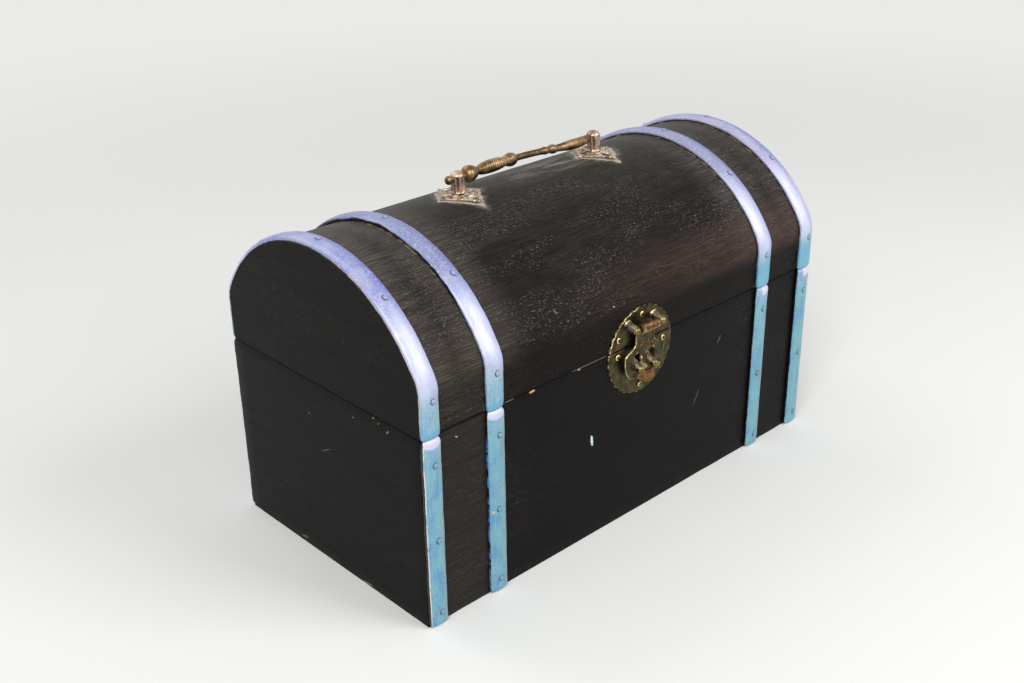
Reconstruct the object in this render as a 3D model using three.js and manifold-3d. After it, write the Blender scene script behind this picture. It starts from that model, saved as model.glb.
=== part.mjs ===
// A small wooden chest with a domed lid, painted half-round bands, a hasp latch,
// a carrying handle and two butt hinges. Millimetres, +Z up, the chest stands on z = 0,
// its length lies along X and its front faces -Y. The lid is modelled closed.

import * as THREE from 'three';
import { mergeVertices } from 'three/addons/utils/BufferGeometryUtils.js';
import Module from 'manifold-3d';

const wasm = await Module();
wasm.setup();

// Wooden case

const chestLength = 300;
const chestDepth = 154;
const bodyHeight = 105.2;
const endThickness = 8;
const wallThickness = 7;
const bottomThickness = 5;

// Domed lid

const seamGap = 0.3;
const lidWallHeight = 22.2;
const lidHeight = 72.9;
const shoulderRadius = 15;
const skinThickness = 2.5;
const lidEndThickness = 8;
const railThickness = 5;
const railHeight = 19;

// Half-round bands

const bandWidth = 11;
const bandThickness = 3.2;
const bandSideHeight = 1.4;
const bandInnerSpacing = 209;
const bandBottomLift = 0.5;
const bandTopEase = 3.6;
const bandFootEase = 2.4;
const lidBandEase = 7;
const lidBandEaseDepth = 1.1;

// Nails

const nailHeadRadius = 1.6;
const nailHeadHeight = 0.9;
const nailShankRadius = 0.6;
const nailBite = 1.9;
const bandNailSink = 0.2;
const bandNailTop = 91;
const bandNailFoot = 8;
const bandNailRows = 3;
const lidNailStart = 19;
const lidNailCount = 5;

// Latch

const latchPlateRadius = 24.9;
const latchPlateThickness = 1;
const latchCentreDrop = 4.6;
const scallopCount = 32;
const scallopDepth = 0.7;
const latchNailHeadRadius = 1.8;
const latchNailRadius = 20.4;
const latchNailSpread = 58.5;
const lowerNailSpacing = 35.4;
const lowerNailDrop = 3.6;
const lugRadius = 2.35;
const earSpacing = 20;
const earRise = 12.5;
const earReach = 6.7;
const earDroop = 1.5;
const studSpacing = 11;
const studDrop = 10.4;
const studReach = 6.2;
const studDroop = 2.3;
const studHoleRadius = 1;
const haspPinRadius = 0.8;
const haspBarrelRadius = 2.4;
const haspThickness = 1.1;
const haspStandOff = 3.2;
const haspNeckWidth = 14.8;
const haspNeckLength = 9.2;
const haspNeckSwell = 3.2;
const haspShoulderAngle = 8;
const haspBellyRadius = 15.4;
const haspBellyDrop = 18.2;
const haspFloorDrop = 28.9;
const haspSlotPlay = 4.6;
const haspLipWidth = 14;
const haspLipLength = 6;
const haspLipThickness = 1.2;
const haspLipAngle = 45;

// Handle

const handleSpacing = 101.8;
const handleSetBack = 5.5;
const postRadius = 4;
const postHeight = 11.6;
const postCrownHeight = 3.2;
const postFluteCount = 8;
const postFluteRadius = 0.7;
const postFluteDepth = 0.55;
const postFluteMargin = 0.9;
const pivotDrop = 3.9;
const bailPivotRadius = 1.6;
const bailEndRadius = 2.4;
const bailKnobReach = 3.8;
const bailBow = 1.5;
const bailLean = 45;
const rosetteHalfWidth = 13.5;
const rosetteHalfDepth = 18.5;
const rosetteThickness = 1.2;
const rosetteLobeDepth = 0.9;
const rosetteLobeCount = 3;
const rosetteNailDistance = 9;
const rosetteHoleWidth = 2.1;
const rosetteHoleLength = 5.2;
const rosetteHoleDistance = 8.2;
const shankRadius = 1.8;
const washerRadius = 5;
const washerThickness = 0.8;
const rivetHeadRadius = 3;
const rivetHeadHeight = 1.2;

// The bail's turning between the posts: [radius, distance from the left post's face].
const bailTurning = [
  [3.1, 0.5],
  [4.4, 2],
  [4.5, 4],
  [3.6, 6.8],
  [2, 9.8],
  [2.6, 12],
  [3.6, 15.5],
  [3.9, 19.3],
  [3.5, 23.6],
  [2.1, 29.2],
  [3.2, 31.2],
  [3.7, 33.7],
  [3.2, 36.2],
  [1.9, 38.4],
  [1.6, 45],
  [1.6, 56],
  [2.1, 59.8],
  [1.7, 63],
  [2.5, 64.4],
  [2.5, 66.6],
  [1.9, 68],
  [2.2, 76],
];

// Back hinges

const hingeSpacing = 124;
const leafWidth = 22;
const leafHeight = 15;
const leafThickness = 1;
const hingeAxisClearance = 0.7;
const knuckleRadius = 2;
const hingePinRadius = 0.8;
const hingePinHeadRadius = 1.5;
const hingePinHeadHeight = 0.7;
const webThickness = 1.2;
const leafNailInset = 3.6;

// Named clearances

const seatGap = 0.3;
const runningGap = 0.3;
const cutOverrun = 2;

// Facets

const archFacets = 24;
const shoulderFacets = 3;
const roundFacets = 12;
const smallFacets = 6;
const headFacets = 2;
const postCrownFacets = 3;
const crownFacets = 5;
const easeFacets = 3;
const scallopFacets = 3;
const rosetteSideFacets = 9;
const domeFacets = 5;

// Worked out from the sizes above

const halfLength = chestLength / 2;
const halfDepth = chestDepth / 2;
const lidBase = bodyHeight + seamGap;
const seamHeight = bodyHeight + seamGap / 2;
const shoulderHeight = lidBase + lidWallHeight;
const lidTop = lidBase + lidHeight;
const archRise = lidTop - shoulderHeight;
const shoulderCentre = halfDepth - shoulderRadius;
const archRadius = (shoulderCentre ** 2 + archRise ** 2 - shoulderRadius ** 2)
  / (2 * (archRise - shoulderRadius));
const archCentreHeight = lidTop - archRadius;
const shoulderAngle = Math.atan2(shoulderHeight - archCentreHeight, shoulderCentre);
const outerBandX = halfLength - bandWidth / 2;
const innerBandX = bandInnerSpacing / 2;
const bandXs = [-outerBandX, -innerBandX, innerBandX, outerBandX];
const latchCentreHeight = seamHeight - latchCentreDrop;
const earBaseHeight = seamHeight + earRise;
const studBaseHeight = seamHeight - studDrop;
const haspAxisHeight = earBaseHeight - earDroop;
const haspFloorHeight = haspAxisHeight - haspFloorDrop;
const hingeAxisY = halfDepth + bandThickness + hingeAxisClearance;
const radians = Math.PI / 180;

// Materials

const paintedWood = new THREE.MeshStandardMaterial({ color: 0x1c1b19, roughness: 0.5 });
const bareWood = new THREE.MeshStandardMaterial({ color: 0xb08a5a, roughness: 0.75 });
const bandPaint = new THREE.MeshStandardMaterial({ color: 0x7f9fc8, roughness: 0.38 });
const antiqueBrass = new THREE.MeshStandardMaterial({ color: 0x6b5530, roughness: 0.42, metalness: 1 });
const wornCopper = new THREE.MeshStandardMaterial({ color: 0x8a5a3c, roughness: 0.4, metalness: 1 });
const brightBrass = new THREE.MeshStandardMaterial({ color: 0xb8924a, roughness: 0.35, metalness: 1 });
const plainSteel = new THREE.MeshStandardMaterial({ color: 0x8c8c8a, roughness: 0.4, metalness: 1 });

// Solids: joining, cutting and placing

function toSolid(geometry) {
  const bare = geometry.index ? geometry.toNonIndexed() : geometry.clone();
  for (const name of Object.keys(bare.attributes)) {
    if (name !== 'position') bare.deleteAttribute(name);
  }
  const merged = mergeVertices(bare, 1e-5);
  return new wasm.Manifold(new wasm.Mesh({
    numProp: 3,
    vertProperties: new Float32Array(merged.attributes.position.array),
    triVerts: new Uint32Array(merged.index.array),
  }));
}

function toGeometry(solid) {
  const mesh = solid.getMesh();
  const geometry = new THREE.BufferGeometry();
  geometry.setAttribute('position', new THREE.BufferAttribute(new Float32Array(mesh.vertProperties), 3));
  geometry.setIndex(new THREE.BufferAttribute(new Uint32Array(mesh.triVerts), 1));
  geometry.computeVertexNormals();
  return geometry;
}

function cut(geometry, tools) {
  let solid = toSolid(geometry);
  for (const tool of tools) {
    solid = solid.subtract(toSolid(tool));
  }
  return toGeometry(solid);
}

function join(geometries) {
  let solid = toSolid(geometries[0]);
  for (const geometry of geometries.slice(1)) {
    solid = solid.add(toSolid(geometry));
  }
  return toGeometry(solid);
}

function common(first, second) {
  return toGeometry(toSolid(first).intersect(toSolid(second)));
}

function box(x, y, z) {
  const geometry = new THREE.BoxGeometry(x[1] - x[0], y[1] - y[0], z[1] - z[0]);
  return geometry.translate((x[0] + x[1]) / 2, (y[0] + y[1]) / 2, (z[0] + z[1]) / 2);
}

function rod(radius, from, to, facets) {
  const start = new THREE.Vector3(...from);
  const end = new THREE.Vector3(...to);
  const geometry = new THREE.CylinderGeometry(radius, radius, start.distanceTo(end), facets);
  const turn = new THREE.Quaternion().setFromUnitVectors(
    new THREE.Vector3(0, 1, 0), end.clone().sub(start).normalize());
  geometry.applyQuaternion(turn);
  const middle = start.add(end).multiplyScalar(0.5);
  return geometry.translate(middle.x, middle.y, middle.z);
}

function extrude(shape, depth) {
  return new THREE.ExtrudeGeometry(shape, { depth, bevelEnabled: false, curveSegments: smallFacets });
}

// A shape drawn in (y, z), carried along X from x[0] to x[1].
function extrudeAlongX(shape, x) {
  const turn = new THREE.Matrix4().makeBasis(
    new THREE.Vector3(0, 1, 0), new THREE.Vector3(0, 0, 1), new THREE.Vector3(1, 0, 0));
  return extrude(shape, x[1] - x[0]).applyMatrix4(turn).translate(x[0], 0, 0);
}

// A shape drawn in (x, z), carried forwards from a stand-off out[0] to out[1] in front of the case.
function extrudeForwards(shape, out) {
  return extrude(shape, out[1] - out[0]).rotateX(Math.PI / 2).translate(0, -halfDepth - out[0], 0);
}

// A profile of [radius, height] pairs turned about Z.
function turned(profile, facets) {
  const points = profile.map(([radius, height]) => new THREE.Vector2(radius, height));
  return new THREE.LatheGeometry(points, facets).rotateX(Math.PI / 2);
}

// A quarter ellipse from its rim to its pole, as [radius, height] pairs.
function crown(radius, base, rise, facets) {
  const rim = spread(facets + 1, 0, Math.PI / 2).slice(0, -1);
  return [
    ...rim.map((angle) => [radius * Math.cos(angle), base + rise * Math.sin(angle)]),
    [0, base + rise],
  ];
}

function polygon(points) {
  return new THREE.Shape(points.map(([x, y]) => new THREE.Vector2(x, y)));
}

function spread(count, from, to) {
  return Array.from({ length: count }, (_, i) => from + (to - from) * i / (count - 1));
}

// Lid outline: points and outward directions from the front seam over the dome to the back seam

function lidStations() {
  const front = [{ y: -halfDepth, z: lidBase, angle: Math.PI }];
  for (const angle of spread(shoulderFacets + 1, Math.PI, Math.PI - shoulderAngle)) {
    front.push({
      y: -shoulderCentre + shoulderRadius * Math.cos(angle),
      z: shoulderHeight + shoulderRadius * Math.sin(angle),
      angle,
    });
  }
  const archAngles = spread(archFacets + 1, Math.PI - shoulderAngle, shoulderAngle).slice(1, -1);
  const arch = archAngles.map((angle) => ({
    y: archRadius * Math.cos(angle),
    z: archCentreHeight + archRadius * Math.sin(angle),
    angle,
  }));
  const back = front.map(({ y, z, angle }) => ({ y: -y, z, angle: Math.PI - angle })).reverse();
  return [...front, ...arch, ...back];
}

const stations = lidStations();

function lidOutline(offset) {
  return stations.map(({ y, z, angle }) => [y + offset * Math.cos(angle), z + offset * Math.sin(angle)]);
}

const shoulderLength = shoulderRadius * shoulderAngle;
const lidOutlineLength = 2 * (lidWallHeight + shoulderLength) + archRadius * (Math.PI - 2 * shoulderAngle);

// The place and outward direction at a distance along the lid outline from the front seam.
function lidPlace(distance) {
  if (distance > lidOutlineLength / 2) {
    const mirror = lidPlace(lidOutlineLength - distance);
    return { y: -mirror.y, z: mirror.z, angle: Math.PI - mirror.angle };
  }
  const alongShoulder = distance - lidWallHeight;
  const alongArch = alongShoulder - shoulderLength;
  if (alongShoulder < 0) {
    return { y: -halfDepth, z: lidBase + distance, angle: Math.PI };
  }
  if (alongArch < 0) {
    const angle = Math.PI - alongShoulder / shoulderRadius;
    return {
      y: -shoulderCentre + shoulderRadius * Math.cos(angle),
      z: shoulderHeight + shoulderRadius * Math.sin(angle),
      angle,
    };
  }
  const angle = Math.PI - shoulderAngle - alongArch / archRadius;
  return {
    y: archRadius * Math.cos(angle),
    z: archCentreHeight + archRadius * Math.sin(angle),
    angle,
  };
}

class LidPath extends THREE.Curve {
  getPoint(t) {
    const place = t * (stations.length - 1);
    const index = Math.min(Math.floor(place), stations.length - 2);
    const from = stations[index];
    const to = stations[index + 1];
    const share = place - index;
    return new THREE.Vector3(0, from.y + (to.y - from.y) * share, from.z + (to.z - from.z) * share);
  }

  getPointAt(u) {
    return this.getPoint(u);
  }

  // A section's first axis points out of the lid and its second along +X, all the way over.
  computeFrenetFrames() {
    return {
      tangents: stations.map(({ angle }) => new THREE.Vector3(0, Math.sin(angle), -Math.cos(angle))),
      normals: stations.map(({ angle }) => new THREE.Vector3(0, Math.cos(angle), Math.sin(angle))),
      binormals: stations.map(() => new THREE.Vector3(1, 0, 0)),
    };
  }
}

// Nails: each is a place with +Z pointing out of the wood and its head resting at height seat

function nail(headRadius, seat) {
  const tip = -nailBite;
  return turned([
    [0, tip],
    [nailShankRadius, tip],
    [nailShankRadius, seat],
    ...crown(headRadius, seat, nailHeadHeight, headFacets),
  ], smallFacets);
}

function pilot(seat) {
  const depth = nailBite + seatGap;
  return rod(nailShankRadius + seatGap, [0, 0, -depth], [0, 0, seat + cutOverrun], smallFacets);
}

function facing(x, y, z, outward) {
  const turn = new THREE.Quaternion().setFromUnitVectors(new THREE.Vector3(0, 0, 1), outward);
  return new THREE.Matrix4().compose(new THREE.Vector3(x, y, z), turn, new THREE.Vector3(1, 1, 1));
}

function frontPlace(x, z) {
  return facing(x, -halfDepth, z, new THREE.Vector3(0, -1, 0));
}

function backPlace(x, z) {
  return facing(x, halfDepth, z, new THREE.Vector3(0, 1, 0));
}

function lidNailPlace(x, distance) {
  const { y, z, angle } = lidPlace(distance);
  return facing(x, y, z, new THREE.Vector3(0, Math.cos(angle), Math.sin(angle)));
}

function nailsAt(places, headRadius, seat) {
  return places.map((place) => nail(headRadius, seat).applyMatrix4(place));
}

function pilotsAt(places, seat) {
  return places.map((place) => pilot(seat).applyMatrix4(place));
}

const bandNailSeat = bandThickness - bandNailSink;
const bandNailHeights = spread(bandNailRows, bandNailFoot, bandNailTop);
const lidNailDistances = spread(lidNailCount, lidNailStart, lidOutlineLength - lidNailStart);

function bodyBandNailPlaces(place, x) {
  return bandNailHeights.map((z) => place(x, z));
}

function lidBandNailPlaces(x) {
  return lidNailDistances.map((distance) => lidNailPlace(x, distance));
}

// Bands

// The band's section as [out, across] points, with its inner face at height inner.
function bandSection(inner) {
  const rounded = spread(crownFacets + 1, 0, Math.PI).map((angle) => [
    bandSideHeight + (bandThickness - bandSideHeight) * Math.sin(angle),
    bandWidth / 2 * Math.cos(angle),
  ]);
  return [[inner, bandWidth / 2], ...rounded, [inner, -bandWidth / 2]];
}

// The region outside an end that is eased over a length, drawn as [out, along] points.
function easeRegion(length, depth) {
  const curve = spread(easeFacets + 1, 0, Math.PI / 2).map((angle) => [
    bandThickness - depth * (1 - Math.sin(angle)),
    length * (1 - Math.cos(angle)),
  ]);
  return [
    ...curve,
    [bandThickness + cutOverrun, length],
    [bandThickness + cutOverrun, -cutOverrun],
    [curve[0][0], -cutOverrun],
  ];
}

const acrossBand = [-bandWidth / 2 - cutOverrun, bandWidth / 2 + cutOverrun];

// A body band on the front face, centred on x = 0, with its nails.
function bodyBand() {
  const outline = bandSection(0).map(([out, across]) => [across, -halfDepth - out]);
  const bar = extrude(polygon(outline), bodyHeight - bandBottomLift).translate(0, 0, bandBottomLift);
  const top = easeRegion(bandTopEase, bandThickness - bandSideHeight / 2)
    .map(([out, along]) => [-halfDepth - out, bodyHeight - along]);
  const foot = easeRegion(bandFootEase, bandThickness - bandSideHeight)
    .map(([out, along]) => [-halfDepth - out, bandBottomLift + along]);
  const eased = cut(bar, [top, foot].map((region) => extrudeAlongX(polygon(region), acrossBand)));
  return join([eased, ...nailsAt(bodyBandNailPlaces(frontPlace, 0), nailHeadRadius, bandNailSeat)]);
}

function lidBand() {
  const bent = new THREE.ExtrudeGeometry(polygon(bandSection(seatGap)), {
    steps: stations.length - 1,
    extrudePath: new LidPath(),
    bevelEnabled: false,
  });
  const ease = easeRegion(lidBandEase, lidBandEaseDepth);
  const front = polygon(ease.map(([out, along]) => [-halfDepth - out, lidBase + along]));
  const back = polygon(ease.map(([out, along]) => [halfDepth + out, lidBase + along]));
  const eased = cut(bent, [extrudeAlongX(front, acrossBand), extrudeAlongX(back, acrossBand)]);
  return join([eased, ...nailsAt(lidBandNailPlaces(0), nailHeadRadius, bandNailSeat)]);
}

// Latch: plates with lugs, and the hasp

function scallopedArc(from, to) {
  const steps = Math.round(scallopCount * scallopFacets * Math.abs(to - from) / (2 * Math.PI));
  return spread(steps + 1, from, to).map((angle) => {
    const scallop = scallopDepth * Math.abs(Math.sin(angle * scallopCount / 2));
    const radius = latchPlateRadius - scallopDepth + scallop;
    return [radius * Math.cos(angle), latchCentreHeight + radius * Math.sin(angle)];
  });
}

function latchNailPlaces(directions) {
  return directions.map((degrees) => frontPlace(
    latchNailRadius * Math.cos(degrees * radians),
    latchCentreHeight + latchNailRadius * Math.sin(degrees * radians),
  ));
}

const upperLatchNails = latchNailPlaces([90, 90 - latchNailSpread, 90 + latchNailSpread]);
const lowerLatchNails = [
  ...latchNailPlaces([-90]),
  frontPlace(-lowerNailSpacing / 2, seamHeight - lowerNailDrop),
  frontPlace(lowerNailSpacing / 2, seamHeight - lowerNailDrop),
];

// A round-ended lug that stands out of its plate and droops towards its tip.
function lug(x, baseHeight, reach, droop) {
  const base = [x, -halfDepth - latchPlateThickness / 2, baseHeight];
  const tip = [x, -halfDepth - reach, baseHeight - droop];
  const dome = new THREE.SphereGeometry(lugRadius, roundFacets, smallFacets);
  return join([rod(lugRadius, base, tip, roundFacets), dome.translate(...tip)]);
}

// What lies behind the plates, where no lug may reach.
function behindPlates() {
  const reach = latchPlateRadius + cutOverrun;
  return box([-reach, reach], [-halfDepth, -halfDepth + wallThickness],
    [latchCentreHeight - reach, latchCentreHeight + reach]);
}

// A rod about the hasp's axis, reaching as far to the left as to the right.
function alongHaspAxis(radius, reach, facets) {
  const y = -halfDepth - earReach;
  return rod(radius, [-reach, y, haspAxisHeight], [reach, y, haspAxisHeight], facets);
}

function latchUpperPlate() {
  const seam = lidBase + seatGap;
  const start = Math.asin((seam - latchCentreHeight) / latchPlateRadius);
  const plate = extrudeForwards(polygon(scallopedArc(start, Math.PI - start)), [0, latchPlateThickness]);
  const ears = [-earSpacing / 2, earSpacing / 2].map((x) => lug(x, earBaseHeight, earReach, earDroop));
  return cut(join([plate, ...ears]), [
    behindPlates(),
    alongHaspAxis(haspPinRadius + runningGap, earSpacing / 2 + lugRadius + cutOverrun, smallFacets),
    ...pilotsAt(upperLatchNails, latchPlateThickness),
  ]);
}

function latchLowerPlate() {
  const seam = bodyHeight - seatGap;
  const start = Math.asin((seam - latchCentreHeight) / latchPlateRadius);
  const plate = extrudeForwards(polygon(scallopedArc(start, -Math.PI - start)), [0, latchPlateThickness]);
  const studXs = [-studSpacing / 2, studSpacing / 2];
  const studs = studXs.map((x) => lug(x, studBaseHeight, studReach, studDroop));
  const holeReach = studSpacing / 2 + lugRadius + cutOverrun;
  const holeY = -halfDepth - studReach;
  const holeZ = studBaseHeight - studDroop;
  const hole = rod(studHoleRadius, [-holeReach, holeY, holeZ], [holeReach, holeY, holeZ], smallFacets);
  return cut(join([plate, ...studs]), [
    behindPlates(),
    hole,
    ...pilotsAt(lowerLatchNails, latchPlateThickness),
  ]);
}

// The hasp's outline in (x, z): a neck that swells into a round belly with a flat foot.
function haspOutline() {
  const neck = haspNeckWidth / 2;
  const neckFoot = haspAxisHeight - haspNeckLength;
  const centre = haspAxisHeight - haspBellyDrop;
  const floorAngle = Math.asin((haspFloorDrop - haspBellyDrop) / haspBellyRadius);
  const shoulder = haspShoulderAngle * radians;
  const shoulderX = haspBellyRadius * Math.cos(shoulder);
  const shoulderZ = centre + haspBellyRadius * Math.sin(shoulder);
  const swellX = shoulderX - haspNeckSwell * Math.sin(shoulder);
  const swellZ = shoulderZ + haspNeckSwell * Math.cos(shoulder);
  const shape = new THREE.Shape();
  shape.moveTo(-neck, haspAxisHeight);
  shape.lineTo(-neck, neckFoot);
  shape.bezierCurveTo(-neck, neckFoot - haspNeckSwell, -swellX, swellZ, -shoulderX, shoulderZ);
  shape.absarc(0, centre, haspBellyRadius, Math.PI - shoulder, Math.PI + floorAngle, false);
  shape.absarc(0, centre, haspBellyRadius, -floorAngle, shoulder, false);
  shape.bezierCurveTo(swellX, swellZ, neck, neckFoot - haspNeckSwell, neck, neckFoot);
  shape.lineTo(neck, haspAxisHeight);
  return shape;
}

// A stud's height where it stands a given distance out of the wood.
function studHeight(out) {
  const share = (out - latchPlateThickness / 2) / (studReach - latchPlateThickness / 2);
  return studBaseHeight - studDroop * share;
}

function slotHole(x) {
  const half = lugRadius + runningGap;
  const top = studHeight(haspStandOff) + haspSlotPlay;
  const foot = studHeight(haspStandOff + haspThickness) - runningGap;
  const shape = new THREE.Shape();
  shape.absarc(x, top, half, 0, Math.PI, false);
  shape.absarc(x, foot, half, Math.PI, 2 * Math.PI, false);
  return extrudeForwards(shape, [0, haspStandOff + haspThickness + cutOverrun]);
}

// The lift lip: half an oval, bent out of the hasp's foot.
function haspLip() {
  const shape = new THREE.Shape();
  shape.absellipse(0, 0, haspLipWidth / 2, haspLipLength, Math.PI, 2 * Math.PI, false, 0);
  return extrude(shape, haspLipThickness)
    .rotateX(Math.PI / 2 - haspLipAngle * radians)
    .translate(0, -halfDepth - haspStandOff, haspFloorHeight + haspLipThickness / 2);
}

function latchHasp() {
  const plate = extrudeForwards(haspOutline(), [haspStandOff, haspStandOff + haspThickness]);
  const half = earSpacing / 2 - lugRadius - runningGap;
  const barrel = alongHaspAxis(haspBarrelRadius, half, roundFacets);
  const web = box([-half, half], [-halfDepth - earReach, -halfDepth - haspStandOff],
    [haspAxisHeight - haspBarrelRadius + haspThickness / 2, haspAxisHeight]);
  return cut(join([plate, web, barrel, haspLip()]), [
    alongHaspAxis(haspPinRadius + runningGap, half + cutOverrun, smallFacets),
    slotHole(-studSpacing / 2),
    slotHole(studSpacing / 2),
  ]);
}

function latchHaspPin() {
  return alongHaspAxis(haspPinRadius, earSpacing / 2 + lugRadius, smallFacets);
}

// Handle, drawn with its origin on the dome and +Z out of it

const handleAngle = Math.acos(handleSetBack / archRadius);
const handleGroup = new THREE.Group();
handleGroup.position.set(0, handleSetBack, archCentreHeight + archRadius * Math.sin(handleAngle));
handleGroup.rotation.x = handleAngle - Math.PI / 2;
handleGroup.updateMatrix();

const postXs = [-handleSpacing / 2, handleSpacing / 2];
const domeReach = (rosetteHalfDepth + cutOverrun) / archRadius;
const rosetteTop = seatGap + rosetteThickness;
const postFoot = rosetteTop + seatGap;
const pivotHeight = postFoot + postHeight - pivotDrop;
const washerTop = -skinThickness - 2 * seatGap;

// A shell that follows the dome between two heights above its skin.
function domeShell(low, high) {
  const arc = (height) => spread(domeFacets * 2 + 1, domeReach, -domeReach).map((angle) => [
    (archRadius + height) * Math.sin(angle),
    (archRadius + height) * Math.cos(angle) - archRadius,
  ]);
  const outline = [...arc(low), ...arc(high).reverse()];
  return extrudeAlongX(polygon(outline), [-rosetteHalfWidth - cutOverrun, rosetteHalfWidth + cutOverrun]);
}

// Rosette nails, in the handle's own frame about one post.
function rosetteNailPlaces(x) {
  return [-rosetteNailDistance, rosetteNailDistance].map((y) => {
    const angle = y / archRadius;
    const height = archRadius * Math.cos(angle) - archRadius;
    const outward = new THREE.Vector3(0, Math.sin(angle), Math.cos(angle));
    return facing(x, archRadius * Math.sin(angle), height, outward);
  });
}

function rosetteOutline() {
  const corners = [
    [rosetteHalfWidth, 0],
    [0, rosetteHalfDepth],
    [-rosetteHalfWidth, 0],
    [0, -rosetteHalfDepth],
  ];
  const points = corners.flatMap((corner, side) => {
    const next = corners[(side + 1) % corners.length];
    const length = Math.hypot(next[0] - corner[0], next[1] - corner[1]);
    const inward = [-(next[1] - corner[1]) / length, (next[0] - corner[0]) / length];
    return spread(rosetteSideFacets + 1, 0, 1).slice(0, -1).map((share) => {
      const sink = rosetteLobeDepth * (1 - Math.abs(Math.cos(rosetteLobeCount * Math.PI * share)));
      return [
        corner[0] + (next[0] - corner[0]) * share + inward[0] * sink,
        corner[1] + (next[1] - corner[1]) * share + inward[1] * sink,
      ];
    });
  });
  return polygon(points);
}

// A pierced diamond plate under one post, bent to the dome.
function rosette() {
  const tall = rosetteHalfDepth / 2;
  const blank = extrude(rosetteOutline(), 2 * tall).translate(0, 0, -tall);
  const bent = common(blank, domeShell(seatGap, rosetteTop));
  const along = Math.hypot(rosetteHalfWidth, rosetteHalfDepth);
  const across = rosetteHalfWidth / along;
  const up = rosetteHalfDepth / along;
  const reach = (rosetteHoleLength - rosetteHoleWidth) / 2;
  const piercing = ([sx, sy]) => join([-reach, reach].map((run) => {
    const x = sx * across * (rosetteHoleDistance - run);
    const y = sy * up * (rosetteHoleDistance + run);
    return rod(rosetteHoleWidth / 2, [x, y, -tall], [x, y, tall], smallFacets);
  }));
  return cut(bent, [
    ...[[1, 1], [-1, 1], [-1, -1], [1, -1]].map(piercing),
    rod(shankRadius + seatGap, [0, 0, -tall], [0, 0, tall], roundFacets),
    ...pilotsAt(rosetteNailPlaces(0), rosetteTop),
  ]);
}

// A fluted post on a riveted shank, with a cross bore for the bail.
function handlePost() {
  const headTop = washerTop - washerThickness - seatGap;
  const crownBase = postFoot + postHeight - postCrownHeight;
  const body = turned([
    ...crown(rivetHeadRadius, headTop, -rivetHeadHeight, headFacets).reverse(),
    [shankRadius, headTop],
    [shankRadius, postFoot],
    [postRadius, postFoot],
    ...crown(postRadius, crownBase, postCrownHeight, postCrownFacets),
  ], 2 * postFluteCount);
  const fluteDistance = postRadius + postFluteRadius - postFluteDepth;
  const flutes = Array.from({ length: postFluteCount }, (_, i) => {
    const angle = (i + 0.5) * 2 * Math.PI / postFluteCount;
    const x = fluteDistance * Math.cos(angle);
    const y = fluteDistance * Math.sin(angle);
    const ends = [postFoot + postFluteMargin, crownBase - postFluteMargin];
    return rod(postFluteRadius, [x, y, ends[0]], [x, y, ends[1]], smallFacets);
  });
  const boreReach = postRadius + cutOverrun;
  const bore = rod(bailPivotRadius + runningGap, [-boreReach, 0, pivotHeight], [boreReach, 0, pivotHeight],
    roundFacets);
  return cut(body, [bore, ...flutes]);
}

function handleWasher() {
  const inner = shankRadius + seatGap;
  return turned([
    [inner, washerTop - washerThickness],
    [washerRadius, washerTop - washerThickness],
    [washerRadius, washerTop],
    [inner, washerTop],
    [inner, washerTop - washerThickness],
  ], roundFacets);
}

// The bail's radius along its length, from the knob outside the left post to its right end.
function bailProfile() {
  const postFace = handleSpacing / 2 - postRadius - runningGap;
  const outside = -handleSpacing / 2 - postRadius - runningGap;
  const knob = spread(2 * headFacets + 1, Math.PI, 0).slice(1, -1).map((angle) => [
    bailEndRadius * Math.sin(angle),
    outside - bailKnobReach / 2 * (1 - Math.cos(angle)),
  ]);
  return [
    [0, outside - bailKnobReach],
    ...knob,
    [bailPivotRadius, outside],
    [bailPivotRadius, -postFace],
    ...bailTurning.map(([radius, distance]) => [radius, distance - postFace]),
    [bailEndRadius, postFace - bailPivotRadius],
    [bailPivotRadius, postFace],
    [bailPivotRadius, handleSpacing / 2 + postRadius],
    [0, handleSpacing / 2 + postRadius],
  ];
}

// The bail is turned straight, laid along X and then bowed.
function handleBail() {
  const bar = turned(bailProfile(), roundFacets).rotateY(Math.PI / 2);
  const bowHalf = handleSpacing / 2 - postRadius - runningGap;
  const lean = bailLean * radians;
  const position = bar.attributes.position;
  for (let i = 0; i < position.count; i += 1) {
    const x = position.getX(i);
    const share = Math.min(Math.abs(x) / bowHalf, 1);
    const bow = bailBow * Math.cos(share * Math.PI / 2) ** 2;
    position.setY(i, position.getY(i) + bow * Math.sin(lean));
    position.setZ(i, position.getZ(i) + bow * Math.cos(lean) + pivotHeight);
  }
  return bar;
}

// Back hinges, centred on x = 0; side is 1 for the lid's leaf and -1 for the body's

function hingeLeaf(side, knuckles) {
  const plateStart = seamHeight + side * (seamGap / 2 + seatGap);
  const plateEnd = seamHeight + side * leafHeight;
  const span = (from, to) => [Math.min(from, to), Math.max(from, to)];
  const webEnd = seamHeight + side * knuckleRadius;
  const webStart = webEnd - side * webThickness;
  const aboutAxis = (radius, [from, to], facets) => rod(
    radius, [from, hingeAxisY, seamHeight], [to, hingeAxisY, seamHeight], facets);
  const pieces = [
    box([-leafWidth / 2, leafWidth / 2], [halfDepth, halfDepth + leafThickness], span(plateStart, plateEnd)),
  ];
  for (const knuckle of knuckles) {
    pieces.push(aboutAxis(knuckleRadius, knuckle, roundFacets));
    pieces.push(box(knuckle, [halfDepth, hingeAxisY], span(webStart, webEnd)));
  }
  const boreReach = leafWidth / 2 + cutOverrun;
  return cut(join(pieces), [
    aboutAxis(hingePinRadius + runningGap, [-boreReach, boreReach], smallFacets),
    ...pilotsAt(leafNailPlaces(0, side), leafThickness),
  ]);
}

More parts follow.
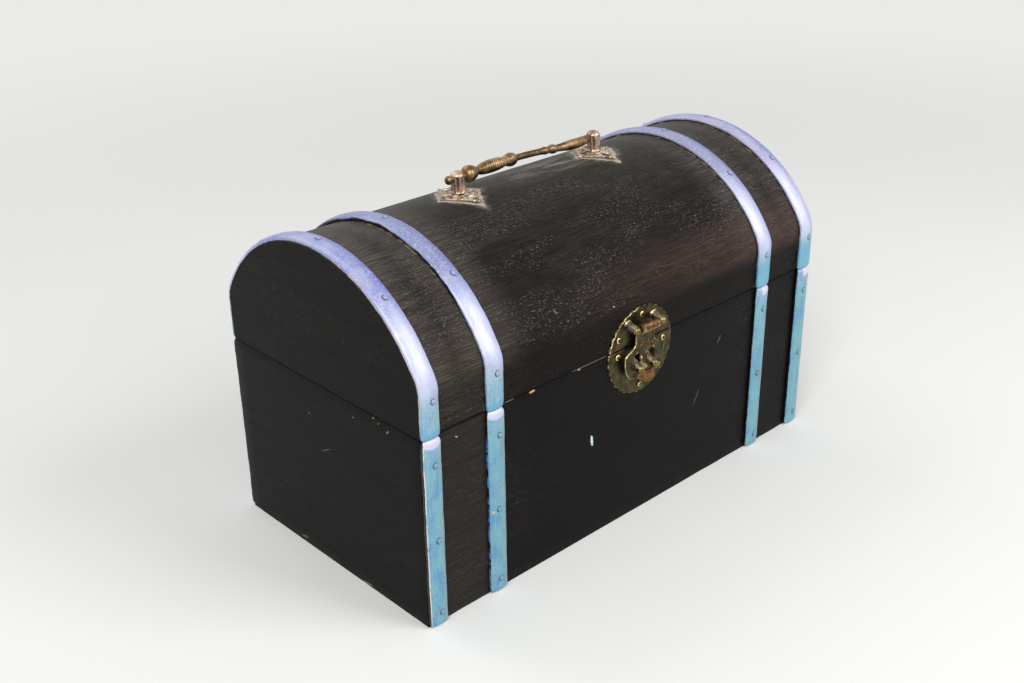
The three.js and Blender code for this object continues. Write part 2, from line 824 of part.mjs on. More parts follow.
function leafNailPlaces(x, side) {
  const reach = leafWidth / 2 - leafNailInset;
  const height = seamHeight + side * (leafHeight - leafNailInset);
  return [backPlace(x - reach, height), backPlace(x + reach, height)];
}

const knuckleLength = (leafWidth - 2 * runningGap) / 3;
const outerKnuckles = [
  [-leafWidth / 2, -leafWidth / 2 + knuckleLength],
  [leafWidth / 2 - knuckleLength, leafWidth / 2],
];
const middleKnuckle = [[-knuckleLength / 2, knuckleLength / 2]];

function hingePin() {
  const end = leafWidth / 2 + runningGap;
  return turned([
    [0, -end - hingePinHeadHeight],
    [hingePinHeadRadius, -end - hingePinHeadHeight],
    [hingePinHeadRadius, -end],
    [hingePinRadius, -end],
    [hingePinRadius, end],
    [hingePinHeadRadius, end],
    [hingePinHeadRadius, end + hingePinHeadHeight],
    [0, end + hingePinHeadHeight],
  ], smallFacets).rotateY(Math.PI / 2).translate(0, hingeAxisY, seamHeight);
}

const hingeXs = [-hingeSpacing / 2, hingeSpacing / 2];
const lidLeafNails = hingeXs.flatMap((x) => leafNailPlaces(x, 1));
const bodyLeafNails = hingeXs.flatMap((x) => leafNailPlaces(x, -1));

// Wooden pieces

const bodyHeights = [0, bodyHeight];
const betweenEnds = [-halfLength + endThickness, halfLength - endThickness];

function bodyEnd() {
  const side = box([0, endThickness], [-halfDepth, halfDepth], bodyHeights);
  const middle = halfLength - outerBandX;
  return cut(side, pilotsAt([
    ...bodyBandNailPlaces(frontPlace, middle),
    ...bodyBandNailPlaces(backPlace, middle),
  ], 0));
}

function bodyFrontPanel() {
  const panel = box(betweenEnds, [-halfDepth, -halfDepth + wallThickness], bodyHeights);
  return cut(panel, pilotsAt([
    ...bandXs.flatMap((x) => bodyBandNailPlaces(frontPlace, x)),
    ...lowerLatchNails,
  ], 0));
}

function bodyBackPanel() {
  const panel = box(betweenEnds, [halfDepth - wallThickness, halfDepth], bodyHeights);
  return cut(panel, pilotsAt([
    ...bandXs.flatMap((x) => bodyBandNailPlaces(backPlace, x)),
    ...bodyLeafNails,
  ], 0));
}

function bodyBottomPanel() {
  const inside = halfDepth - wallThickness;
  return box(betweenEnds, [-inside, inside], [0, bottomThickness]);
}

function lidEnd() {
  return extrudeAlongX(polygon(lidOutline(-skinThickness - seatGap)), [0, lidEndThickness]);
}

// Rails run between the lid's ends, inside the skin; side is -1 for the front and 1 for the back.
function lidRail(side) {
  const outside = halfDepth - skinThickness;
  const depths = [side * outside, side * (outside - railThickness)].sort((a, b) => a - b);
  const reach = halfLength - lidEndThickness;
  return box([-reach, reach], depths, [lidBase, lidBase + railHeight]);
}

function lidSkin() {
  const outline = [...lidOutline(0), ...lidOutline(-skinThickness).reverse()];
  const skin = extrudeAlongX(polygon(outline), [-halfLength, halfLength]);
  const shankFoot = -skinThickness - cutOverrun;
  const shank = rod(shankRadius + seatGap, [0, 0, shankFoot], [0, 0, cutOverrun], roundFacets);
  const handleTools = postXs.flatMap((x) => [
    shank.clone().translate(x, 0, 0),
    ...pilotsAt(rosetteNailPlaces(x), 0),
  ]);
  return cut(skin, [
    ...pilotsAt([...bandXs.flatMap(lidBandNailPlaces), ...upperLatchNails, ...lidLeafNails], 0),
    ...handleTools.map((tool) => tool.applyMatrix4(handleGroup.matrix)),
  ]);
}

// The model

function piece(name, geometry, material, parent, place = [0, 0, 0]) {
  const mesh = new THREE.Mesh(geometry, material);
  mesh.name = name;
  mesh.position.set(...place);
  parent.add(mesh);
  return mesh;
}

function nailPieces(name, places, headRadius, seat, parent) {
  nailsAt(places, headRadius, seat).forEach((geometry, i) => {
    piece(`${name}_${i + 1}`, geometry, brightBrass, parent);
  });
}

const chest = new THREE.Group();
const body = new THREE.Group();
const lid = new THREE.Group();
const hasp = new THREE.Group();
chest.add(body, lid);
lid.add(hasp, handleGroup);

const endGeometry = bodyEnd();
piece('body_left_end', endGeometry, paintedWood, body, [-halfLength, 0, 0]);
piece('body_right_end', endGeometry.clone(), paintedWood, body, [halfLength, 0, 0]).rotation.z = Math.PI;
piece('body_front_panel', bodyFrontPanel(), paintedWood, body);
piece('body_back_panel', bodyBackPanel(), paintedWood, body);
piece('body_bottom_panel', bodyBottomPanel(), bareWood, body);

const bandGeometry = bodyBand();
bandXs.forEach((x, i) => {
  piece(`body_front_band_${i + 1}`, bandGeometry, bandPaint, body, [x, 0, 0]);
  piece(`body_back_band_${i + 1}`, bandGeometry, bandPaint, body, [x, 0, 0]).rotation.z = Math.PI;
});

piece('latch_lower_plate', latchLowerPlate(), antiqueBrass, body);
nailPieces('latch_lower_nail', lowerLatchNails, latchNailHeadRadius, latchPlateThickness, body);

piece('lid_left_end', lidEnd(), paintedWood, lid, [-halfLength, 0, 0]);
piece('lid_right_end', lidEnd(), paintedWood, lid, [halfLength - lidEndThickness, 0, 0]);
piece('lid_front_rail', lidRail(-1), bareWood, lid);
piece('lid_back_rail', lidRail(1), bareWood, lid);
piece('lid_skin', lidSkin(), paintedWood, lid);

const lidBandGeometry = lidBand();
bandXs.forEach((x, i) => {
  piece(`lid_band_${i + 1}`, lidBandGeometry, bandPaint, lid, [x, 0, 0]);
});

piece('latch_upper_plate', latchUpperPlate(), antiqueBrass, lid);
nailPieces('latch_upper_nail', upperLatchNails, latchNailHeadRadius, latchPlateThickness, lid);
piece('latch_hasp_pin', latchHaspPin(), plainSteel, lid);
piece('latch_hasp', latchHasp(), wornCopper, hasp);

const rosetteGeometry = rosette();
const postGeometry = handlePost();
const washerGeometry = handleWasher();
['left', 'right'].forEach((side, i) => {
  const place = [postXs[i], 0, 0];
  piece(`handle_${side}_rosette`, rosetteGeometry, brightBrass, handleGroup, place);
  piece(`handle_${side}_post`, postGeometry, antiqueBrass, handleGroup, place);
  piece(`handle_${side}_washer`, washerGeometry, plainSteel, handleGroup, place);
});
nailPieces('handle_rosette_nail', postXs.flatMap(rosetteNailPlaces), nailHeadRadius, rosetteTop + seatGap,
  handleGroup);
piece('handle_bail', handleBail(), antiqueBrass, handleGroup);

const bodyLeaf = hingeLeaf(-1, outerKnuckles);
const lidLeaf = hingeLeaf(1, middleKnuckle);
const pinGeometry = hingePin();
['left', 'right'].forEach((side, i) => {
  const place = [hingeXs[i], 0, 0];
  piece(`hinge_${side}_body_leaf`, bodyLeaf, antiqueBrass, body, place);
  piece(`hinge_${side}_lid_leaf`, lidLeaf, antiqueBrass, lid, place);
  piece(`hinge_${side}_pin`, pinGeometry, plainSteel, body, place);
});
nailPieces('hinge_body_nail', bodyLeafNails, nailHeadRadius, leafThickness, body);
nailPieces('hinge_lid_nail', lidLeafNails, nailHeadRadius, leafThickness, lid);

export default chest;
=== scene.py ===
"""A small wooden chest with a domed lid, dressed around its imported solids.

The sizes below are in millimetres: those that the solids were made from, and finer ones that only show. A
mesh is made in millimetres and brought to metres with its piece. The length lies along X, the front faces
-Y and Z is up.
"""

import functools
import math

import bmesh
import bpy
import numpy as np
from bpy.props import FloatProperty, FloatVectorProperty, IntProperty, PointerProperty
from mathutils import Matrix, Vector, noise


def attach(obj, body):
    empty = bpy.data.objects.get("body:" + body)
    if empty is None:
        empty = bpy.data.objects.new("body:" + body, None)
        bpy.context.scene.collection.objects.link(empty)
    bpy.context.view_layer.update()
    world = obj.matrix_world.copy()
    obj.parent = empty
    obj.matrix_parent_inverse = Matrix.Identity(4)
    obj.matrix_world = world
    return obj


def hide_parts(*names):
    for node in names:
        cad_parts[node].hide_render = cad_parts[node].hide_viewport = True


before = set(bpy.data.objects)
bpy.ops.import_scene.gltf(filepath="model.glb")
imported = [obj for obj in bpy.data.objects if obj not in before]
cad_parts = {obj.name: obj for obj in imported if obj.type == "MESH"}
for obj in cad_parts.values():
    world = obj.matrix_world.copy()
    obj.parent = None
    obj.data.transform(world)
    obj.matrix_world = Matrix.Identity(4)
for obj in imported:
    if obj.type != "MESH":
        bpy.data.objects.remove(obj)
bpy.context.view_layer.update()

bl_info = {
    "name": "Domed storage chest",
    "version": (1, 0, 0),
    "blender": (4, 5, 0),
    "location": "View3D > Sidebar > Chest",
    "description": "Builds a small domed wooden chest with bands, a hasp latch and a carrying handle",
    "category": "Object",
}

MM = 0.001
FULL_TURN = 2 * math.pi
RIGHT_ANGLE = math.pi / 2
SHARP_DEGREES = 35
MERGE_METRES = 0.000004
SIDES = ((-1, "left"), (1, "right"))
FACES = ((-1, "front"), (1, "back"))

# Case and lid
HALF_LENGTH = 150.0
HALF_DEPTH = 77.0
BODY_HEIGHT = 105.2
END_THICKNESS = 8.0
WALL_THICKNESS = 7.0
BOTTOM_THICKNESS = 5.0
BOARD_GRID = 7.0
LID_BASE = 105.5
LID_WALL = 22.2
LID_TOP = 178.4
SHOULDER_RADIUS = 15.0
SKIN_THICKNESS = 2.5
SKIN_EASE = 0.15
SKIN_GRID = 5
RAIL_THICKNESS = 5.0
RAIL_HEIGHT = 19.0
SEAT_GAP = 0.3
SEAM_HEIGHT = BODY_HEIGHT + 0.15
SHOULDER_HEIGHT = LID_BASE + LID_WALL
SHOULDER_CENTRE = HALF_DEPTH - SHOULDER_RADIUS
ARCH_RISE = LID_TOP - SHOULDER_HEIGHT
ARCH_RADIUS = ((SHOULDER_CENTRE ** 2 + ARCH_RISE ** 2 - SHOULDER_RADIUS ** 2)
               / (2 * (ARCH_RISE - SHOULDER_RADIUS)))
ARCH_CENTRE = LID_TOP - ARCH_RADIUS
SHOULDER_ANGLE = math.atan2(SHOULDER_HEIGHT - ARCH_CENTRE, SHOULDER_CENTRE)
SHOULDER_LENGTH = SHOULDER_RADIUS * SHOULDER_ANGLE
LID_LENGTH = 2 * (LID_WALL + SHOULDER_LENGTH) + ARCH_RADIUS * (math.pi - 2 * SHOULDER_ANGLE)

# Bands
BAND_XS = (-144.5, -104.5, 104.5, 144.5)
BAND_WIDTH = 11.0
BAND_THICKNESS = 3.2
BAND_LIFT = 0.5
FOOT_EASE = (2.4, 1.8)
SEAM_EASE = (3.6, 2.5)
LID_EASE = (4, 0.8)
NAIL_RADIUS = 1.5
BAND_NAIL_RADIUS = 1.35
NAIL_HEIGHT = 0.9
BODY_NAIL_HEIGHTS = (8.0, 91.0)
LID_NAIL_START = 19.0

# Latch
PLATE_RADIUS = 24.9
PLATE_THICKNESS = 1.0
PLATE_CENTRE = SEAM_HEIGHT - 4.6
PLATE_SECTION = (
    (0.35, 0.0), (0.0, 0.15), (0.0, 0.7), (0.2, 0.93), (0.55, 1.0), (0.95, 0.95), (1.3, 0.74),
    (1.8, 0.7), (3.0, 0.72), (8.0, 0.78), (16.0, 0.8), (23.0, 0.8))
SCALLOPS = 32
SCALLOP_DEPTH = 0.7
LATCH_NAIL_RADIUS = 1.8
LATCH_NAIL_CIRCLE = 20.4
LATCH_NAIL_SPREAD = 58.5
LOWER_NAIL_X = 17.7
LOWER_NAIL_DROP = 3.6
LUG_RADIUS = 2.35
EAR_X = 10.0
EAR_BASE = SEAM_HEIGHT + 12.5
EAR_REACH = 6.7
EAR_DROOP = 1.5
STUD_X = 5.5
STUD_BASE = SEAM_HEIGHT - 10.4
STUD_REACH = 6.2
STUD_DROOP = 2.3
PIN_RADIUS = 0.8
HASP_AXIS = EAR_BASE - EAR_DROOP
HASP_NECK = 7.4
HASP_NECK_FOOT = HASP_AXIS - 9.2
HASP_SWELL = 3.2
HASP_BELLY = 15.4
HASP_BELLY_CENTRE = HASP_AXIS - 18.2
HASP_FLOOR = HASP_AXIS - 28.9
HASP_OUT = 3.2
HASP_THICKNESS = 1.1
HASP_BARREL = 2.4
SLOT_TOP = 98.5
SLOT_FOOT = 93.1
LIP_LEAN = math.radians(45)
# The painted highlight along the left rims of the latch's plates: where it ends to the right, and its share
# of wear
RIM_HIGHLIGHT_X = -3
RIM_HIGHLIGHT_SHARE = 0.66
LIP_LAYERS = ((0.25, 0.0), (0.0, 0.2), (0.0, 0.95), (0.3, 1.2), (0.9, 1.2), (1.3, 1.1))

# Handle
POST_X = 50.9
HANDLE_BACK = 5.5
POST_RADIUS = 4.0
POST_FOOT = 1.8
POST_HEIGHT = 11.6
POST_CROWN = 3.2
PIVOT_HEIGHT = 9.5
JOURNAL_RADIUS = 1.6
ROSETTE_SHARE = 0.9
ROSETTE_CELL = 0.36
ROSETTE_SPAN = (29.6, 38.6)
ROSETTE_SEAT = 0.3
ROSETTE_NAIL_Y = 9.0
BAIL_TURNING = (
    (3.1, 0.5), (4.4, 2), (4.5, 4), (3.6, 6.8), (2.1, 9.6), (2.7, 11.2), (3.3, 14.5), (3.6, 19),
    (3.4, 24), (2.8, 28.2), (2.4, 29.6), (3.2, 31.2), (3.7, 33.7), (3.2, 36.2), (1.9, 38.4), (1.8, 45),
    (1.8, 56), (2.2, 59.8), (1.8, 63), (2.5, 64.4), (2.5, 66.6), (2.0, 68), (2.2, 72), (2.8, 78),
    (2.9, 83), (2.7, 88))
BAIL_BARREL = (10.4, 28.8)
RIB_DEPTH = 0.5
BAIL_BOW = 1.5
BAIL_SAG = 1.5
BAIL_DROP = 0.3
BAIL_LEAN = math.radians(45)

# Hinges
HINGE_XS = (-62.0, 62.0)
HINGE_AXIS_Y = HALF_DEPTH + BAND_THICKNESS + 0.7
LEAF_WIDTH = 22.0
LEAF_HEIGHT = 15.0
LEAF_CORNER = 2
LEAF_NAIL_X = 7.4
LEAF_NAIL_DROP = 3.6
LEAF_THICKNESS = 1
LEAF_GAP = 0.45
LEAF_LAYERS = ((0.0, 0.0), (0.0, 0.7), (0.12, 0.92), (0.35, 1.0))
KNUCKLE_RADIUS = 2
WEB_FOOT = 0.8

# Chips and scratches: place, turn, half sizes, colour
FRONT_MARKS = (
    ((-35.4, -77, 59.0), (0, 0.12, 0), (1.0, 2, 3.7), (190, 212, 206)),
    ((50.7, -77, 52.5), (0, -0.5, 0), (0.3, 2, 5.5), (84, 90, 84)),
    ((68.8, -77, 83), (0, -0.6, 0), (0.4, 2, 3), (92, 96, 88)),
    ((-78.7, -77, 104.4), (0, 0, 0), (2.2, 2, 0.7), (186, 152, 112)),
    ((-45.7, -77, 104.6), (0, 0, 0), (1.2, 2, 0.5), (176, 140, 100)),
    ((-128, -77, 99), (0, 0.9, 0), (0.4, 2, 1.1), (150, 146, 134)),
    ((-38, -77, 105.1), (0, 0, 0), (15, 2, 0.3), (104, 92, 82)),
    ((-94, -77, 105.1), (0, 0, 0), (4, 2, 0.3), (112, 102, 88)))
END_MARKS = (
    ((-150, -42.6, 103.9), (0.7, 0, 0), (2, 1.4, 0.4), (120, 100, 78)),
    ((-150, -46.6, 102.4), (0.9, 0, 0), (2, 1.0, 0.4), (104, 98, 88)),
    ((-150, -53.2, 100.4), (0.8, 0, 0), (2, 1.4, 0.45), (138, 130, 118)),
    ((-150, -26.2, 97.8), (0, 0, 0), (2, 0.4, 0.4), (150, 148, 138)),
    ((-150, 12.3, 85.1), (0, 0, 0), (2, 0.4, 0.4), (140, 140, 130)),
    ((-150, -0.3, 68.7), (0.5, 0, 0), (2, 4.5, 0.3), (90, 92, 86)),
    ((-150, 27.3, 3.2), (0.2, 0, 0), (2, 3.4, 0.8), (106, 86, 70)),
    ((-150, -27.8, 0.9), (0.1, 0, 0), (2, 5, 0.6), (128, 112, 94)),
    ((150, 34, 2), (-0.2, 0, 0), (2, 3.6, 1.2), (176, 146, 112)))
LID_MARKS = (
    ((-20.1, -76, 131.1), (0, 0, 0), (0.5, 2, 0.5), (206, 206, 196)),
    ((-58, -72, 139), (0, 0.6, 0), (0.3, 2, 1.8), (116, 112, 104)))
BAND_STAINS = (
    ((105.3, -80, 49.5), 1.7, (140, 104, 84)),
    ((-108.2, -79.6, 49), 1.0, (196, 184, 156)))


# Places on the chest

def lid_place(distance):
    """The point (y, z) and outward angle at a distance over the lid from the front seam."""
    if distance > LID_LENGTH / 2:
        y, z, angle = lid_place(LID_LENGTH - distance)
        return -y, z, math.pi - angle
    if distance < LID_WALL:
        return -HALF_DEPTH, LID_BASE + distance, math.pi
    along = distance - LID_WALL
    if along < SHOULDER_LENGTH:
        angle = math.pi - along / SHOULDER_RADIUS
        return (-SHOULDER_CENTRE + SHOULDER_RADIUS * math.cos(angle),
                SHOULDER_HEIGHT + SHOULDER_RADIUS * math.sin(angle), angle)
    angle = math.pi - SHOULDER_ANGLE - (along - SHOULDER_LENGTH) / ARCH_RADIUS
    return ARCH_RADIUS * math.cos(angle), ARCH_CENTRE + ARCH_RADIUS * math.sin(angle), angle


def lid_outline(offset, count=160):
    """Points (y, z) over the lid from the front seam to the back one, moved outwards by offset."""
    stops = (lid_place(LID_LENGTH * i / count) for i in range(count + 1))
    return [(y + offset * math.cos(angle), z + offset * math.sin(angle)) for y, z, angle in stops]


def handle_matrix():
    """The handle's own frame: its origin lies on the dome and its Z points out of it."""
    angle = math.acos(HANDLE_BACK / ARCH_RADIUS)
    place = Matrix.Translation((0, HANDLE_BACK, ARCH_CENTRE + ARCH_RADIUS * math.sin(angle)))
    return place @ Matrix.Rotation(angle - RIGHT_ANGLE, 4, "X")


def lying(y, z, x=0):
    """A frame at a place, with its Z along the chest."""
    return Matrix.Translation((x, y, z)) @ Matrix.Rotation(RIGHT_ANGLE, 4, "Y")


def on_front(x, z, out):
    """A point at a distance out of the chest's front."""
    return x, -HALF_DEPTH - out, z


def on_back(x, z, out):
    """A point at a distance out of the chest's back."""
    return x, HALF_DEPTH + out, z


# Mesh building, in millimetres

def arc(centre, radius, first, last, steps, height=None):
    """Points on part of a circle, or of an oval where its half height is given, both ends included."""
    angles = (first + (last - first) * k / steps for k in range(steps + 1))
    return [Vector((centre[0] + radius * math.cos(a), centre[1] + (height or radius) * math.sin(a)))
            for a in angles]


def loft(bm, rings, ends="fan"):
    """Joins closed rings of points and closes the ends with a fan, flat or not at all."""
    loops = [[bm.verts.new(point) for point in ring] for ring in rings]
    faces = []
    for first, second in zip(loops, loops[1:]):
        for i in range(len(first)):
            j = (i + 1) % len(first)
            faces.append(bm.faces.new((first[i], first[j], second[j], second[i])))
    for loop in (loops[0], loops[-1]):
        if ends == "fan":
            centre = bm.verts.new(sum((v.co for v in loop), Vector()) / len(loop))
            faces += [bm.faces.new((a, b, centre)) for a, b in zip(loop, loop[1:] + loop[:1])]
        elif ends == "flat":
            faces.append(bm.faces.new(loop))
    return faces


def circle(radius, height, segments, place):
    """A ring of points about the Z axis of a place."""
    turns = [FULL_TURN * i / segments for i in range(segments)]
    return [place @ Vector((radius * math.cos(t), radius * math.sin(t), height)) for t in turns]


def turned(bm, profile, place, segments):
    """A turned form from (radius, height) pairs about the Z axis of a place."""
    return loft(bm, [circle(radius, height, segments, place) for radius, height in profile])


def tube(bm, path, radii, segments=16):
    """A round bar along a path of points, with one radius for each point."""
    points = [Vector(p) for p in path]
    rings = []
    side = None
    for i, point in enumerate(points):
        ahead = (points[min(i + 1, len(points) - 1)] - points[max(i - 1, 0)]).normalized()
        side = side or ahead.orthogonal().normalized()
        side = (side - ahead * side.dot(ahead)).normalized()
        up = ahead.cross(side)
        turns = [FULL_TURN * k / segments for k in range(segments)]
        rings.append([point + (side * math.cos(t) + up * math.sin(t)) * radii[i] for t in turns])
    return loft(bm, rings)


def round_ended(start, end, radius, foot, steps=6):
    """A path and its radii for a bar with a hemispherical end and a flared foot."""
    start, end = Vector(start), Vector(end)
    ahead = (end - start).normalized()
    path, radii = [], []
    for share, extra in ((0, foot), (0.12, foot * 0.35), (0.25, 0.0), (0.6, 0.0), (1.0, 0.0)):
        path.append(start.lerp(end, share))
        radii.append(radius + extra)
    for k in range(1, steps + 1):
        angle = RIGHT_ANGLE * k / steps
        path.append(end + ahead * radius * math.sin(angle))
        radii.append(max(radius * math.cos(angle), 0.0005))
    return path, radii


def lugs(bm, x, base, tip, reach, foot, cap_from):
    """A pair of round-ended pegs on the front; their faces take the second finish, their tips the third."""
    for side, _ in SIDES:
        start, end = on_front(side * x, base, 0.4), on_front(side * x, tip, reach)
        path, radii = round_ended(start, end, LUG_RADIUS, foot)
        for face in tube(bm, path, radii, 28):
            face.material_index = 2 if face.calc_center_median().y < -HALF_DEPTH - cap_from else 1


def grid_box(bm, lo, hi, step, rounding):
    """A box of small faces with rounded edges."""
    steps = [max(1, round((hi[k] - lo[k]) / step)) for k in range(3)]
    verts = {}

    def at(*key):
        if key not in verts:
            verts[key] = bm.verts.new([lo[a] + (hi[a] - lo[a]) * key[a] / steps[a] for a in range(3)])
        return verts[key]

    for axis in range(3):
        u, v = (axis + 1) % 3, (axis + 2) % 3
        for end in (0, steps[axis]):
            for a in range(steps[u]):
                for b in range(steps[v]):
                    corners = []
                    for da, db in ((0, 0), (1, 0), (1, 1), (0, 1)):
                        key = [0, 0, 0]
                        key[axis], key[u], key[v] = end, a + da, b + db
                        corners.append(at(*key))
                    bm.faces.new(corners if end else corners[::-1])
    bm.normal_update()
    edges = [e for e in bm.edges if e.calc_face_angle(0) > 1]
    bmesh.ops.bevel(bm, geom=edges, offset=rounding, segments=3, profile=0.5, affect="EDGES")


def wear_edges(bm, lo, hi, depth, reach=2.2):
    """Wears a board's edges down unevenly, by up to depth."""
    for vert in bm.verts:
        near = sorted(min(vert.co[a] - lo[a], hi[a] - vert.co[a]) for a in range(3))
        if near[1] > reach:
            continue
        bite = noise.noise(vert.co * 0.11) * 0.6 + noise.noise(vert.co * 0.45) * 0.4
        if bite > 0:
            middle = Vector([min(max(vert.co[a], lo[a] + reach), hi[a] - reach) for a in range(3)])
            vert.co += (middle - vert.co).normalized() * bite * depth


# Objects

def new_object(name, data):
    """An object in the scene for a mesh, a curve, a light or a camera."""
    made = bpy.data.objects.new(name, data)
    bpy.context.scene.collection.objects.link(made)
    return made


def evaluated_mesh(name, source):
    """What an object's modifiers make of it, as a plain mesh."""
    mesh = bpy.data.meshes.new_from_object(source.evaluated_get(bpy.context.evaluated_depsgraph_get()))
    mesh.name = name
    return mesh


def in_metres(name, bm, materials, sharp=SHARP_DEGREES):
    """A finished object from a mesh in millimetres, with merged points and outward faces."""
    bmesh.ops.remove_doubles(bm, verts=bm.verts, dist=0.002)
    bmesh.ops.recalc_face_normals(bm, faces=bm.faces)
    bmesh.ops.scale(bm, vec=(MM, MM, MM), verts=bm.verts)
    mesh = bpy.data.meshes.new(name)
    bm.to_mesh(mesh)
    bm.free()
    mesh.shade_smooth()
    for material in materials:
        mesh.materials.append(material)
    finish_edges(mesh, sharp)
    return new_object(name, mesh)


def finish_edges(mesh, sharp=SHARP_DEGREES):
    """Marks a mesh's sharp edges, and stores how far each point stands out, 0 to 1, as the attribute worn."""
    mesh.set_sharp_from_angle(angle=math.radians(sharp))
    count = len(mesh.vertices)
    places = np.empty(count * 3)
    normals = np.empty(count * 3)
    ends = np.empty(len(mesh.edges) * 2, dtype=np.int64)
    mesh.vertices.foreach_get("co", places)
    mesh.vertices.foreach_get("normal", normals)
    mesh.edges.foreach_get("vertices", ends)
    places, normals, ends = places.reshape(-1, 3), normals.reshape(-1, 3), ends.reshape(-1, 2)
    total = np.zeros(count)
    number = np.zeros(count)
    for a, b in ((0, 1), (1, 0)):
        way = places[ends[:, b]] - places[ends[:, a]]
        way /= np.linalg.norm(way, axis=1)[:, None] + 1e-12
        np.add.at(total, ends[:, a], -(way * normals[ends[:, a]]).sum(axis=1))
        np.add.at(number, ends[:, a], 1)
    attribute = mesh.attributes.get("worn") or mesh.attributes.new("worn", "FLOAT", "POINT")
    attribute.data.foreach_set("value", np.clip(total / np.maximum(number, 1) * 2.5, 0, 1))


def rub_left_rim(mesh, outline, front, width=0.2):
    """Stores a painted highlight along a plate's front rim on its left side, as a share of wear that the
    metal shows bright.
    """
    spots = np.empty(len(mesh.vertices) * 3)
    mesh.vertices.foreach_get("co", spots)
    spots = spots.reshape(-1, 3) / MM
    rim = np.array([tuple(p) for p in outline])
    reach = np.hypot(spots[:, None, 0] - rim[None, :, 0], spots[:, None, 2] - rim[None, :, 1]).min(axis=1)
    # The rim points that take the painted highlight
    rubbed = (reach < width) & (spots[:, 1] < front) & (spots[:, 0] < RIM_HIGHLIGHT_X)
    worn = np.empty(len(spots))
    mesh.attributes["worn"].data.foreach_get("value", worn)
    mesh.attributes["worn"].data.foreach_set("value", np.where(rubbed, RIM_HIGHLIGHT_SHARE, worn))


def cut_holes(piece, cutters):
    """Cuts the shapes of other meshes, in millimetres, out of a piece."""
    for bm in cutters:
        tool = in_metres("hole_cutter", bm, [])
        modifier = piece.modifiers.new("Hole", "BOOLEAN")
        modifier.operation = "DIFFERENCE"
        modifier.solver = "EXACT"
        modifier.object = tool
        mesh = evaluated_mesh(piece.name, piece)
        piece.modifiers.clear()
        piece.data = mesh
        bpy.data.objects.remove(tool)
    finish_edges(piece.data)


def join_piece(piece, other):
    """Joins another object's mesh into a piece, material slots kept."""
    bm = bmesh.new()
    for source in (piece, other):
        bm.from_mesh(source.data)
    bpy.data.objects.remove(other)
    bm.to_mesh(piece.data)
    bm.free()
    finish_edges(piece.data)


def lay_mesh(piece, place):
    """Moves a mesh in metres by a place in millimetres."""
    metres = place.copy()
    metres.translation = place.translation * MM
    piece.data.transform(metres)
    bm = bmesh.new()
    bm.from_mesh(piece.data)
    bmesh.ops.remove_doubles(bm, verts=bm.verts, dist=0.000002)
    bmesh.ops.recalc_face_normals(bm, faces=bm.faces)
    bm.to_mesh(piece.data)
    bm.free()
    finish_edges(piece.data, 40)


def dress(piece, body, slot, *nodes):
    """Says what a piece moves with and hides the solids it stands for; its finish slot is not used."""
    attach(piece, body)
    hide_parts(*nodes)


# Node trees

def as_maths(operation, turned_round=False):
    """An operator of a wire that adds a Math node."""
    def operator(self, *others):
        values = (self, *others)
        return self.n.math(operation, *(values[::-1] if turned_round else values))
    return operator


class Wire:
    """One output of a node; sums, products and comparisons of wires add Math nodes to their tree."""

    def __init__(self, n, socket):
        self.n = n
        self.socket = socket

    __add__ = __radd__ = as_maths("ADD")
    __mul__ = __rmul__ = as_maths("MULTIPLY")
    __sub__ = as_maths("SUBTRACT")
    __rsub__ = as_maths("SUBTRACT", True)
    __truediv__ = as_maths("DIVIDE")
    __pow__ = as_maths("POWER")
    __gt__ = as_maths("GREATER_THAN")
    __lt__ = as_maths("LESS_THAN")
    __abs__ = as_maths("ABSOLUTE")

    def held(self):
        """The same value, kept within 0 to 1."""
        self.socket.node.use_clamp = True
        return self

    def ramp(self, low, high, start=0.0, end=1.0):
        """Maps low..high to start..end with eased ends, held at both."""
        return self.n.add("ShaderNodeMapRange", self, low, high, start, end, interpolation_type="SMOOTHSTEP")


